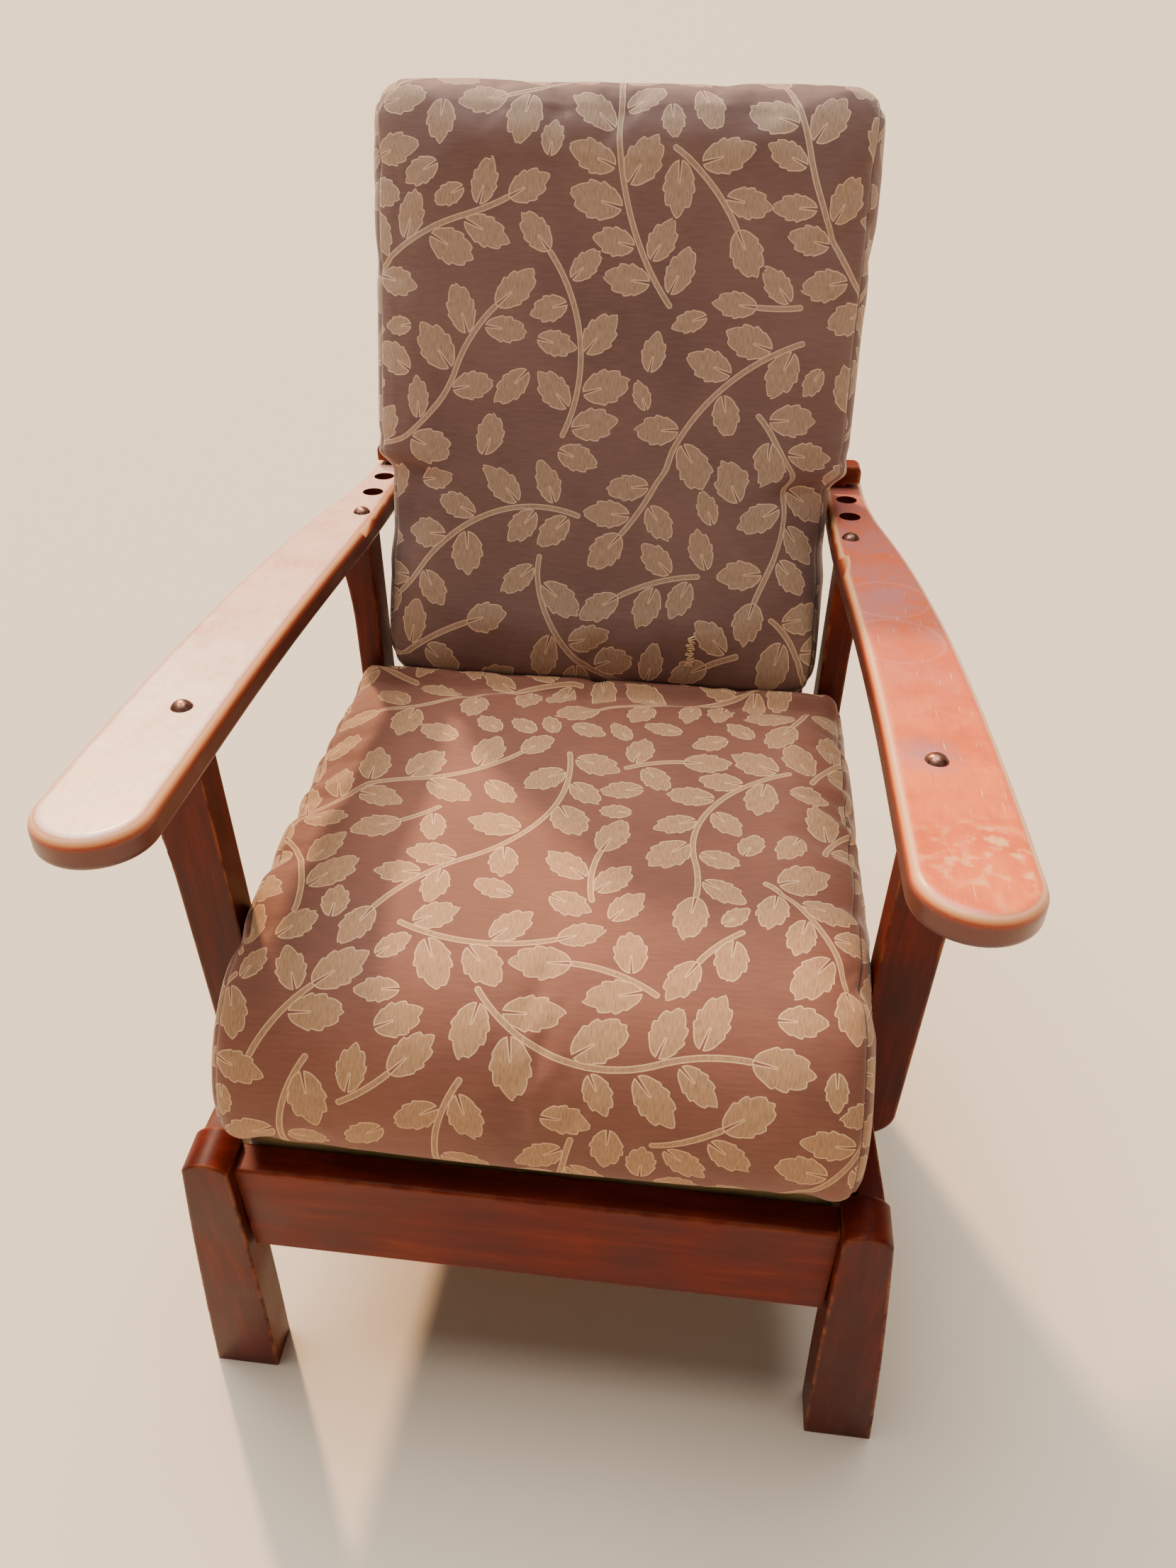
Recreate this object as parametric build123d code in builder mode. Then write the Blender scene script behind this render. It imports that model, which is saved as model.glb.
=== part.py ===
from build123d import *
from math import atan2, copysign, cos, pi, radians, sin, tan
import os

# Mission reclining armchair: a hardwood frame with paddle arms, a hinged back that leans on a loose
# rest bar pegged into the arms, a sprung seat deck and two loose box cushions.
# All sizes are millimetres. The front faces -Y, +Z is up, X = 0 is the plane of symmetry.
# In the plan and side sizes below, y is measured back from the front faces of the front legs.

# Front legs: straight grained posts, wider at the floor, with an arched top
half_clear_width = 235.0
leg_width = 37.0
leg_depth = 37.0
leg_shoulder_height = 316.0
leg_arch_rise = 10.0
foot_inner_spread = 9.0
foot_outer_spread = 31.0
leg_bow = 1.5
leg_edge_round = 2.0

# Seat rails
front_rail_height = 110.0
front_rail_thick = 26.0
front_rail_drop = 8.0
front_rail_round = 3.0
side_rail_thick = 20.0
side_rail_height = 90.0
side_rail_drop = 4.0
side_rail_inset = 2.0
rear_rail_thick = 22.0
rail_edge_round = 1.5
tenon_thick = 10.0
tenon_length = 18.0
tenon_shoulder = 12.0
joint_gap = 0.1

# Rear legs: one board each from the floor to the arm
rear_leg_front = 503.0
rear_leg_depth = 38.0
rear_leg_inset = 17.0
rear_leg_width = 24.0
rear_foot_spread = 18.0
rear_flare = 18.0
rear_flare_height = 119.0

# Arms: paddles that fall towards the back
arm_height = 669.0
arm_fall = 5.7
arm_thick = 24.0
arm_overhang = 8.0
arm_front_inset = 10.0
arm_front_width = 79.0
arm_rear_inset = 6.0
arm_rear_width = 39.0
arm_rear_margin = 30.0
arm_rear_corner = 12.0
arm_top_round = 9.0
arm_under_round = 6.0

# Front arm posts, notched over the side rails
post_front = 136.0
post_thick = 29.0
post_side_offset = 12.0
post_width = 42.0
post_flare = 18.0
post_flare_height = 174.0
post_tail = 52.0
post_tail_round = 30.0
post_edge_round = 2.0

# Dome head bolts through the arms, and screws through the posts
bolt_radius = 4.0
bolt_gap = 0.1
bolt_grip = 45.0
dome_radius = 8.0
dome_height = 5.0
front_bolt_inset = 9.0
rear_bolt_inset = 10.0
screw_radius = 2.0
screw_head_radius = 4.0
screw_head_height = 2.5
screw_length = 36.0
screw_margin = 13.0
screw_spacing = 20.0

# Peg holes and rest bar
peg_radius = 9.9
peg_gap = 0.1
peg_length = 26.0
peg_bolt_gap = 53.6
peg_inset = 19.0
peg_holes = 3
peg_socket = 14.0
peg_end_round = 2.0
bar_end_length = 15.0
bar_depth = 24.0
bar_height = 22.0
bar_round = 3.0
bar_end_round = 8.0
bar_relief = 5.0
bar_relief_length = 14.0
rest_gap = 0.3

# Back frame: local u runs up the back, v runs forward from the hinge axis
back_angle = 20.0
back_side_gap = 9.0
stile_width = 36.0
back_thick = 22.0
back_length = 640.0
back_foot_gap = 1.0
bottom_rail_height = 70.0
top_rail_height = 80.0
back_tenon_length = 20.0
back_tenon_thick = 8.0
back_shoulder = 10.0
back_edge_round = 3.0
slat_count = 4
slat_width = 52.0
slat_thick = 10.0
slat_tongue = 8.0

# Butt hinges between the rear rail and the back
hinge_offset = 4.5
hinge_radius = 4.0
hinge_pin_radius = 1.8
hinge_pin_gap = 0.05
hinge_length = 60.0
hinge_leaf = 2.0
hinge_leaf_height = 27.0
hinge_inset = 97.0
hinge_knuckles = 5
hinge_knuckle_gap = 0.4
hinge_pin_head = 3.0
hinge_pin_head_height = 1.2
hinge_cut_gap = 0.1
hinge_screw_radius = 1.5
hinge_screw_length = 15.0
hinge_screw_head = 2.8
hinge_screw_head_height = 1.0
hinge_screw_drop = 16.0
hinge_screw_spacing = 20.0

# Seat deck: frame, slats and a covered pad, lying on cleats
cleat_width = 34.0
cleat_height = 20.0
cleat_round = 2.0
deck_side_gap = 20.0
deck_front_gap = 1.0
deck_rear_gap = 3.0
deck_bar = 45.0
deck_thick = 24.0
deck_pad = 14.0
deck_cloth = 2.0
deck_skirt = 20.0
deck_round = 6.0
deck_slats = 5
deck_slat_width = 50.0
deck_slat_thick = 9.0
deck_ledge = 12.0
block_leg = 55.0
block_height = 30.0
block_rise = 8.0

# Cushions
seat_cushion_rise = 14.0
seat_cushion_thick = 144.0
seat_cushion_fall = 39.5
seat_cushion_side_gap = 0.5
seat_cushion_front = 10.0
seat_cushion_rear_gap = 2.0
seat_under_round = 30.0
seat_rear_round = 31.0
seat_side_round = 24.0
seat_nose_height = 94.0
seat_nose_depth = 22.0
seat_roll_drop = 8.0
seat_roll_depth = 90.0
seat_crest_depth = 190.0
back_cushion_foot_height = 126.0
back_cushion_waist_rise = 192.0
back_cushion_chest_rise = 34.0
back_cushion_shoulder_rise = 298.0
back_cushion_thick = 90.0
back_cushion_side_gap = 1.5
back_cushion_overhang = 14.0
back_corner_round = 30.0
back_crown_inset = 66.0
overrun = 10.0

# Places across the chair, all from the clear width between the front legs
post_inner = half_clear_width + post_side_offset
rear_leg_inner = half_clear_width - rear_leg_inset
arm_front_inner = half_clear_width - arm_front_inset
arm_front_outer = arm_front_inner + arm_front_width
arm_rear_inner = rear_leg_inner - arm_rear_inset
arm_rear_outer = arm_rear_inner + arm_rear_width
front_bolt_x = post_inner + front_bolt_inset
rear_bolt_x = rear_leg_inner + rear_bolt_inset
peg_x = arm_rear_inner + peg_inset
bar_half_length = peg_x + bar_end_length
back_half_width = rear_leg_inner - back_side_gap
hinge_x = back_half_width - hinge_inset

# Sloping directions, worked out from the sizes above
fall = radians(arm_fall)
lean = radians(back_angle)
rail_top = leg_shoulder_height - side_rail_drop
rail_base = rail_top - side_rail_height
front_rail_top = leg_shoulder_height - front_rail_drop
front_rail_base = front_rail_top - front_rail_height
leg_outer = half_clear_width + leg_width
rear_leg_outer = rear_leg_inner + rear_leg_width
rear_leg_rear = rear_leg_front + rear_leg_depth
axis_y = rear_leg_rear + hinge_offset
axis_z = rail_top + back_foot_gap
back_rear_v = hinge_offset
back_front_v = hinge_offset + back_thick

# Depth of the whole chair, so that it is centred over the origin
under_centre = (arm_overhang - arm_under_round) * cos(fall) + (arm_thick - arm_under_round) * sin(fall)
chair_front = -under_centre - arm_under_round
chair_rear = axis_y + back_length * sin(lean) - back_rear_v * cos(lean)
front_y = -(chair_front + chair_rear) / 2

floor = Plane((0, front_y, 0))
arm_plane = Plane((0, front_y, arm_height), x_dir=(1, 0, 0), z_dir=(0, sin(fall), cos(fall)))
arm_under = arm_plane.offset(-arm_thick)
back_plane = Plane((0, front_y + axis_y, axis_z), x_dir=(1, 0, 0), z_dir=(0, -cos(lean), sin(lean)))
arm_up = Axis((0, 0, 0), (0, sin(fall), cos(fall)))


def front_view(y):
    """Vertical plane facing the viewer, y behind the front leg faces."""
    return Plane((0, front_y + y, 0), x_dir=(1, 0, 0), z_dir=(0, -1, 0))


def rail_outer(y):
    """Outer face of the right side rail, which runs in towards the back."""
    front = leg_outer - side_rail_inset
    return front + (rear_leg_outer - front) * (y - leg_depth) / (rear_leg_front - leg_depth)


def rail_inner(y):
    return rail_outer(y) - side_rail_thick


# Place of the last peg hole: the bar's rounded upper edge clears the leaning back by the rest gap
bar_edge = bar_height - bar_round
back_face_y = axis_y - back_rear_v * cos(lean)
back_face_z = axis_z + back_rear_v * sin(lean)
bar_reach = back_face_y * cos(lean) + (arm_height - back_face_z) * sin(lean)
bar_reach = bar_reach + bar_edge * sin(lean - fall) + bar_round + rest_gap
bar_front = bar_reach / cos(lean - fall) - bar_round
last_peg = bar_front + bar_depth / 2
arm_length = last_peg + arm_rear_margin
post_bolt_t = (post_front + post_thick / 2) / cos(fall)
rear_bolt_t = (rear_leg_front + rear_leg_depth / 2) / cos(fall)
peg_pitch = (last_peg - rear_bolt_t - peg_bolt_gap) / (peg_holes - 1)

# Side rail tenons run straight into the legs, so the slanting rails keep square mortises
tenon_low = rail_base + tenon_shoulder
tenon_high = side_rail_height - 2 * tenon_shoulder
front_tenon_x = (rail_inner(leg_depth) + rail_outer(leg_depth)) / 2
rear_tenon_x = (rail_inner(rear_leg_front) + rail_outer(rear_leg_front)) / 2
post_rear = post_front + post_thick
post_outer = post_inner + post_width
post_foot = rail_top - post_tail
screw_places = [(-post_front - post_thick / 2, rail_top - screw_margin - screw_spacing * n) for n in (0, 1)]
post_side = Plane((post_outer, front_y, 0), x_dir=(0, -1, 0), z_dir=(-1, 0, 0))

with BuildPart() as side_rail_right:
    with BuildSketch(floor.offset(rail_base)):
        with BuildLine():
            Polyline(
                (rail_outer(leg_depth), leg_depth),
                (rail_outer(rear_leg_front), rear_leg_front),
                (rail_inner(rear_leg_front), rear_leg_front),
                (rail_inner(leg_depth), leg_depth),
                close=True,
            )
        make_face()
    extrude(amount=side_rail_height)
    long_edges = side_rail_right.faces().sort_by(Axis.Z)[-1].edges().sort_by(SortBy.LENGTH)[-2:]
    fillet(long_edges, radius=rail_edge_round)
    with BuildSketch(floor.offset(tenon_low)):
        with Locations((front_tenon_x, leg_depth - tenon_length / 2)):
            Rectangle(tenon_thick, tenon_length)
        with Locations((rear_tenon_x, rear_leg_front + tenon_length / 2)):
            Rectangle(tenon_thick, tenon_length)
    extrude(amount=tenon_high)
    with BuildSketch(post_side):
        with Locations(*screw_places):
            Circle(screw_radius + joint_gap)
    extrude(amount=screw_length + joint_gap, mode=Mode.SUBTRACT)
with BuildPart() as side_rail_left:
    mirror(side_rail_right.part, about=Plane.YZ)

with BuildPart() as front_rail:
    with BuildSketch(floor.offset(front_rail_base)):
        with Locations((0, leg_depth - front_rail_thick / 2)):
            Rectangle(2 * half_clear_width, front_rail_thick)
    extrude(amount=front_rail_height)
    fillet(front_rail.edges().filter_by(Axis.X), radius=front_rail_round)
    with BuildSketch(floor.offset(front_rail_base + tenon_shoulder)):
        with Locations((0, leg_depth - front_rail_thick / 2)):
            Rectangle(2 * (half_clear_width + tenon_length), tenon_thick)
    extrude(amount=front_rail_height - 2 * tenon_shoulder)

leaf_plane = floor.offset(rail_top)
leaf_screw_x = [side * (hinge_x + hinge_screw_spacing * n) for side in (-1, 1) for n in (-1, 0, 1)]
rail_screw_plane = Plane((0, front_y + rear_leg_rear, axis_z), x_dir=(-1, 0, 0), z_dir=(0, 1, 0))
back_screw_plane = Plane(
    back_plane.from_local_coords(Vector(0, 0, back_rear_v)), x_dir=(-1, 0, 0), z_dir=-back_plane.z_dir
)
with BuildPart() as rear_rail:
    with BuildSketch(floor.offset(rail_base)):
        with Locations((0, rear_leg_rear - rear_rail_thick / 2)):
            Rectangle(2 * rear_leg_inner, rear_rail_thick)
    extrude(amount=side_rail_height)
    fillet(rear_rail.edges().filter_by(Axis.X), radius=rail_edge_round)
    with BuildSketch(floor.offset(tenon_low)):
        with Locations((0, rear_leg_rear - rear_rail_thick / 2)):
            Rectangle(2 * rear_leg_inner + tenon_length, tenon_thick)
    extrude(amount=tenon_high)
    with BuildSketch(rail_screw_plane):
        with Locations(*[(x, -hinge_screw_drop) for x in leaf_screw_x]):
            Circle(hinge_screw_radius + joint_gap)
    extrude(amount=-hinge_screw_length, mode=Mode.SUBTRACT)

with BuildPart() as front_leg_right:
    with BuildSketch(front_view(0)):
        with BuildLine():
            inner_top = (half_clear_width, leg_shoulder_height)
            outer_top = (leg_outer, leg_shoulder_height)
            inner_foot = (half_clear_width + foot_inner_spread, 0)
            outer_foot = (leg_outer + foot_outer_spread, 0)
            middle = leg_shoulder_height / 2
            Line(inner_foot, outer_foot)
            ThreePointArc(outer_foot, (leg_outer + foot_outer_spread / 2 + leg_bow, middle), outer_top)
            arch_mid = (half_clear_width + leg_width / 2, leg_shoulder_height + leg_arch_rise)
            ThreePointArc(outer_top, arch_mid, inner_top)
            ThreePointArc(inner_top, (half_clear_width + foot_inner_spread / 2 - leg_bow, middle), inner_foot)
        make_face()
    extrude(amount=-leg_depth)
    fillet(front_leg_right.edges().sort_by(Axis.Z)[4:], radius=leg_edge_round)
    with BuildSketch(floor.offset(front_rail_base + tenon_shoulder - joint_gap)):
        with Locations((half_clear_width, leg_depth - front_rail_thick / 2)):
            Rectangle(2 * (tenon_length + joint_gap), tenon_thick + 2 * joint_gap)
    extrude(amount=front_rail_height - 2 * tenon_shoulder + 2 * joint_gap, mode=Mode.SUBTRACT)
    with BuildSketch(floor.offset(tenon_low - joint_gap)):
        with Locations((front_tenon_x, leg_depth)):
            Rectangle(tenon_thick + 2 * joint_gap, 2 * (tenon_length + joint_gap))
    extrude(amount=tenon_high + 2 * joint_gap, mode=Mode.SUBTRACT)
with BuildPart() as front_leg_left:
    mirror(front_leg_right.part, about=Plane.YZ)

with BuildPart() as rear_leg_right:
    with BuildSketch(front_view(rear_leg_front)):
        with BuildLine():
            arm_above = arm_height - rear_leg_front * tan(fall)
            flare_foot = arm_above - rear_flare_height
            flare_top = (rear_leg_outer + rear_flare, arm_above)
            foot_end = (rear_leg_outer + rear_foot_spread, 0)
            foot_mid = (rear_leg_outer + rear_foot_spread / 4, rail_base / 2)
            flare_mid = (rear_leg_outer + rear_flare / 4, (flare_foot + arm_above) / 2)
            Line((rear_leg_inner, 0), foot_end)
            ThreePointArc(foot_end, foot_mid, (rear_leg_outer, rail_base))
            Line((rear_leg_outer, rail_base), (rear_leg_outer, flare_foot))
            ThreePointArc((rear_leg_outer, flare_foot), flare_mid, flare_top)
            Polyline(flare_top, (rear_leg_inner, arm_above), (rear_leg_inner, 0))
        make_face()
    extrude(amount=-rear_leg_depth)
    level_edges = rear_leg_right.edges().filter_by(Axis.X) + rear_leg_right.edges().filter_by(Axis.Y)
    long_edges = [edge for edge in rear_leg_right.edges() if edge not in level_edges]
    inner_edges = rear_leg_right.edges().filter_by(Axis.Z).sort_by(Axis.X)[:2]
    fillet(inner_edges, radius=leg_edge_round)
    split(bisect_by=arm_under, keep=Keep.BOTTOM)
    with BuildSketch(floor.offset(tenon_low - joint_gap)):
        with Locations((rear_tenon_x, rear_leg_front)):
            Rectangle(tenon_thick + 2 * joint_gap, 2 * (tenon_length + joint_gap))
        with Locations((rear_leg_inner, rear_leg_rear - rear_rail_thick / 2)):
            Rectangle(tenon_length + 2 * joint_gap, tenon_thick + 2 * joint_gap)
    extrude(amount=tenon_high + 2 * joint_gap, mode=Mode.SUBTRACT)
    with BuildSketch(arm_under):
        with Locations((rear_bolt_x, rear_bolt_t)):
            Circle(bolt_radius + bolt_gap)
    extrude(amount=-(bolt_grip + bolt_gap), mode=Mode.SUBTRACT)
with BuildPart() as rear_leg_left:
    mirror(rear_leg_right.part, about=Plane.YZ)

with BuildPart() as arm_post_right:
    with BuildSketch(front_view(post_front)):
        with BuildLine():
            arm_above = arm_height - post_front * tan(fall)
            flare_foot = arm_above - post_flare_height
            flare_top = (post_outer + post_flare, arm_above)
            tail_side = (post_outer, post_foot + post_tail_round)
            tail_end = (post_outer - post_tail_round, post_foot)
            Polyline(flare_top, (post_inner, arm_above), (post_inner, post_foot))
            Line((post_inner, post_foot), tail_end)
            TangentArc(tail_side, tail_end, tangent=(0, -1))
            Line(tail_side, (post_outer, flare_foot))
            TangentArc((post_outer, flare_foot), flare_top, tangent=(0, 1))
        make_face()
    extrude(amount=-post_thick)
    split(bisect_by=arm_under, keep=Keep.BOTTOM)
    with BuildSketch(floor.offset(post_foot - overrun)):
        with BuildLine():
            Polyline(
                (rail_outer(post_front - overrun), post_front - overrun),
                (rail_outer(post_rear + overrun), post_rear + overrun),
                (post_inner - overrun, post_rear + overrun),
                (post_inner - overrun, post_front - overrun),
                close=True,
            )
        make_face()
    extrude(amount=rail_top - post_foot + overrun, mode=Mode.SUBTRACT)
    outer_edges = arm_post_right.edges().filter_by(lambda e: e.center().X > post_outer - post_tail_round / 2)
    fillet(outer_edges.filter_by(lambda e: e.length > post_thick + overrun), radius=post_edge_round)
    with BuildSketch(arm_under):
        with Locations((front_bolt_x, post_bolt_t)):
            Circle(bolt_radius + bolt_gap)
    extrude(amount=-(bolt_grip + bolt_gap), mode=Mode.SUBTRACT)
    with BuildSketch(post_side):
        with Locations(*screw_places):
            Circle(screw_radius + joint_gap)
    extrude(amount=screw_length, mode=Mode.SUBTRACT)
    with BuildSketch(post_side):
        with Locations(*screw_places):
            Circle(screw_head_radius + joint_gap)
    extrude(amount=screw_head_height, mode=Mode.SUBTRACT)
with BuildPart() as arm_post_left:
    mirror(arm_post_right.part, about=Plane.YZ)

# Plan of the arm in arcs that run into each other. Each pair is (share of the length from the nose,
# share of the way from the rear width to the front width)
outer_shares = [(0.407, 0.868), (0.627, 0.604), (0.787, 0.245)]
inner_shares = [(0.647, 0.31), (0.50, 0.69)]
waist_share = 0.86
arm_run = arm_length + arm_overhang


def arm_point(share, width_share, rear_x, front_x):
    return (rear_x + (front_x - rear_x) * width_share, arm_run * share - arm_overhang)


def arcs_to_straight(start, direction, points, end_x):
    """Arcs through the points, then one that ends along the arm at end_x. Gives that arc's end."""
    for point in points:
        arc = TangentArc(start, point, tangent=direction)
        start = arc @ 1
        direction = arc % 1
    turn = atan2(abs(direction.X), abs(direction.Y))
    run = abs(end_x - start.X) / tan(turn / 2)
    end = (end_x, start.Y + copysign(run, direction.Y))
    TangentArc(start, end, tangent=direction)
    return end


nose_radius = (arm_front_outer - arm_front_inner) / 2
nose_t = nose_radius - arm_overhang
outer_points = [arm_point(*pair, arm_rear_outer, arm_front_outer) for pair in outer_shares]
inner_points = [arm_point(*pair, arm_rear_inner, arm_front_inner) for pair in inner_shares]
peg_places = [(peg_x, last_peg - peg_pitch * n) for n in range(peg_holes)]

with BuildPart() as armrest_right:
    with BuildSketch(arm_plane) as arm_plan:
        with BuildLine():
            nose_inner = (arm_front_inner, nose_t)
            nose_outer = (arm_front_outer, nose_t)
            ThreePointArc(nose_inner, (arm_front_inner + nose_radius, -arm_overhang), nose_outer)
            outer_end = arcs_to_straight(nose_outer, (0, 1), outer_points, arm_rear_outer)
            waist = arm_point(waist_share, 0, arm_rear_inner, arm_front_inner)
            Polyline(outer_end, (arm_rear_outer, arm_length), (arm_rear_inner, arm_length), waist)
            inner_end = arcs_to_straight(waist, (0, -1), inner_points, arm_front_inner)
            Line(inner_end, nose_inner)
        make_face()
        fillet(arm_plan.vertices().sort_by(Axis.Y)[-2:], radius=arm_rear_corner)
    extrude(amount=-arm_thick)
    fillet(armrest_right.faces().sort_by(arm_up)[-1].edges(), radius=arm_top_round)
    fillet(armrest_right.faces().sort_by(arm_up)[0].edges(), radius=arm_under_round)
    with BuildSketch(arm_plane.offset(overrun)):
        with Locations((front_bolt_x, post_bolt_t), (rear_bolt_x, rear_bolt_t)):
            Circle(bolt_radius + bolt_gap)
        with Locations(*peg_places):
            Circle(peg_radius + peg_gap)
    extrude(amount=-(arm_thick + 2 * overrun), mode=Mode.SUBTRACT)
with BuildPart() as armrest_left:
    mirror(armrest_right.part, about=Plane.YZ)

# Dome head bolts: a shank into the post or leg, and a head that is a slice of a ball
with BuildPart() as dome_bolts:
    for bolt_x, bolt_t in ((front_bolt_x, post_bolt_t), (rear_bolt_x, rear_bolt_t)):
        seat_point = arm_plane.from_local_coords(Vector(bolt_x, bolt_t, 0))
        bolt_view = Plane(seat_point, x_dir=(1, 0, 0), z_dir=(0, -cos(fall), sin(fall)))
        with BuildSketch(bolt_view):
            with BuildLine():
                shank_end = -(arm_thick + bolt_grip)
                Polyline((0, dome_height), (0, shank_end), (bolt_radius, shank_end), (bolt_radius, 0))
                Line((bolt_radius, 0), (dome_radius, 0))
                TangentArc((0, dome_height), (dome_radius, 0), tangent=(1, 0))
            make_face()
        revolve(axis=Axis(seat_point, (0, sin(fall), cos(fall))))
    mirror(about=Plane.YZ)

with BuildPart() as post_screws:
    with BuildSketch(post_side):
        with Locations(*screw_places):
            Circle(screw_radius)
    extrude(amount=screw_length)
    with BuildSketch(post_side):
        with Locations(*screw_places):
            Circle(screw_head_radius)
    extrude(amount=screw_head_height)
    mirror(about=Plane.YZ)

# Seat deck and what carries it
deck_top = leg_shoulder_height + seat_cushion_rise
frame_top = deck_top - deck_pad
frame_base = frame_top - deck_thick
deck_front = leg_depth + deck_front_gap
deck_rear = rear_leg_rear - rear_rail_thick - deck_rear_gap
bar_front_y = deck_front + deck_cloth
bar_rear_y = deck_rear - deck_cloth


def cover_x(y):
    return rail_inner(y) - deck_side_gap


def frame_x(y):
    return cover_x(y) - deck_cloth


def bar_inner(y):
    return frame_x(y) - deck_bar


with BuildPart() as seat_cleat_right:
    with BuildSketch(floor.offset(frame_base)):
        with BuildLine():
            Polyline(
                (rail_inner(leg_depth), leg_depth),
                (rail_inner(rear_leg_front), rear_leg_front),
                (rail_inner(rear_leg_front) - cleat_width, rear_leg_front),
                (rail_inner(leg_depth) - cleat_width, leg_depth),
                close=True,
            )
        make_face()
    extrude(amount=-cleat_height)
    cleat_edges = seat_cleat_right.faces().sort_by(Axis.X)[0].edges().sort_by(SortBy.LENGTH)[-2:]
    fillet(cleat_edges, radius=cleat_round)
with BuildPart() as seat_cleat_left:
    mirror(seat_cleat_right.part, about=Plane.YZ)

with BuildPart() as corner_block_right:
    with BuildSketch(floor.offset(rail_base + block_rise)):
        with BuildLine():
            Polyline(
                (rail_inner(leg_depth), leg_depth),
                (rail_inner(leg_depth + block_leg), leg_depth + block_leg),
                (rail_inner(leg_depth) - block_leg, leg_depth),
                close=True,
            )
        make_face()
    extrude(amount=block_height)
with BuildPart() as corner_block_left:
    mirror(corner_block_right.part, about=Plane.YZ)

ledge_outer = [(bar_inner(y) + deck_ledge, y) for y in (bar_front_y + deck_bar, bar_rear_y - deck_bar)]
ledge_inner = [(bar_inner(y) - overrun, y) for y in (bar_rear_y - deck_bar, bar_front_y + deck_bar)]
with BuildPart() as deck_side_bar_right:
    with BuildSketch(floor.offset(frame_base)):
        with BuildLine():
            Polyline(
                (frame_x(bar_front_y), bar_front_y),
                (frame_x(bar_rear_y), bar_rear_y),
                (bar_inner(bar_rear_y), bar_rear_y),
                (bar_inner(bar_front_y), bar_front_y),
                close=True,
            )
        make_face()
    extrude(amount=deck_thick)
    with BuildSketch(floor.offset(frame_top - deck_slat_thick)):
        with BuildLine():
            Polyline(*ledge_outer, *ledge_inner, close=True)
        make_face()
    extrude(amount=deck_slat_thick + overrun, mode=Mode.SUBTRACT)
with BuildPart() as deck_side_bar_left:
    mirror(deck_side_bar_right.part, about=Plane.YZ)


def cross_piece(near, far, edge, base, height):
    """Board across the deck between two depths, its ends cut to the slant of the side bars."""
    with BuildPart() as board:
        with BuildSketch(floor.offset(base)):
            with BuildLine():
                Polyline(
                    (edge(near), near), (edge(far), far), (-edge(far), far), (-edge(near), near), close=True
                )
            make_face()
        extrude(amount=height)
    return board


def ledge_x(y):
    return bar_inner(y) + deck_ledge - joint_gap


deck_front_bar = cross_piece(bar_front_y, bar_front_y + deck_bar, bar_inner, frame_base, deck_thick)
deck_rear_bar = cross_piece(bar_rear_y - deck_bar, bar_rear_y, bar_inner, frame_base, deck_thick)
slat_run = bar_rear_y - bar_front_y - 2 * deck_bar
slat_gap = (slat_run - deck_slats * deck_slat_width) / (deck_slats + 1)
deck_slat_parts = []
for n in range(deck_slats):
    near = bar_front_y + deck_bar + slat_gap + n * (deck_slat_width + slat_gap)
    slat = cross_piece(near, near + deck_slat_width, ledge_x, frame_top - deck_slat_thick, deck_slat_thick)
    deck_slat_parts.append(slat)

with BuildPart() as deck_cover:
    with BuildSketch(floor.offset(deck_top)):
        with BuildLine():
            Polyline(
                (cover_x(deck_front), deck_front),
                (cover_x(deck_rear), deck_rear),
                (-cover_x(deck_rear), deck_rear),
                (-cover_x(deck_front), deck_front),
                close=True,
            )
        make_face()
    extrude(amount=-(deck_pad + deck_skirt))
    fillet(deck_cover.faces().sort_by(Axis.Z)[-1].edges(), radius=deck_round)
    with BuildSketch(floor.offset(frame_top)):
        with BuildLine():
            Polyline(
                (frame_x(bar_front_y), bar_front_y),
                (frame_x(bar_rear_y), bar_rear_y),
                (-frame_x(bar_rear_y), bar_rear_y),
                (-frame_x(bar_front_y), bar_front_y),
                close=True,
            )
        make_face()
    extrude(amount=-(deck_skirt + overrun), mode=Mode.SUBTRACT)

# Back frame, drawn in its own plane: local x across, local y up the back, local z forward
back_rear_face = back_plane.offset(back_rear_v)
back_middle = back_plane.offset(back_rear_v + back_thick / 2)
stile_inner = back_half_width - stile_width
rail_span = back_length - top_rail_height - bottom_rail_height
slat_space = (2 * stile_inner - slat_count * slat_width) / (slat_count + 1)
slat_x = [-stile_inner + slat_space + slat_width / 2 + n * (slat_width + slat_space) for n in range(slat_count)]
rail_middles = (bottom_rail_height / 2, back_length - top_rail_height / 2)
rail_heights = (bottom_rail_height, top_rail_height)

with BuildPart() as back_stile_right:
    with BuildSketch(back_rear_face):
        with Locations((back_half_width - stile_width / 2, back_length / 2)):
            Rectangle(stile_width, back_length)
    extrude(amount=back_thick)
    fillet(back_stile_right.edges().sort_by(SortBy.LENGTH)[-4:].sort_by(Axis.X)[-2:], radius=back_edge_round)
    for middle_u, height in zip(rail_middles, rail_heights):
        with BuildSketch(back_middle.offset(-back_tenon_thick / 2 - joint_gap)):
            with Locations((stile_inner, middle_u)):
                Rectangle(2 * (back_tenon_length + joint_gap), height - 2 * (back_shoulder - joint_gap))
        extrude(amount=back_tenon_thick + 2 * joint_gap, mode=Mode.SUBTRACT)
with BuildPart() as back_stile_left:
    mirror(back_stile_right.part, about=Plane.YZ)


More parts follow.
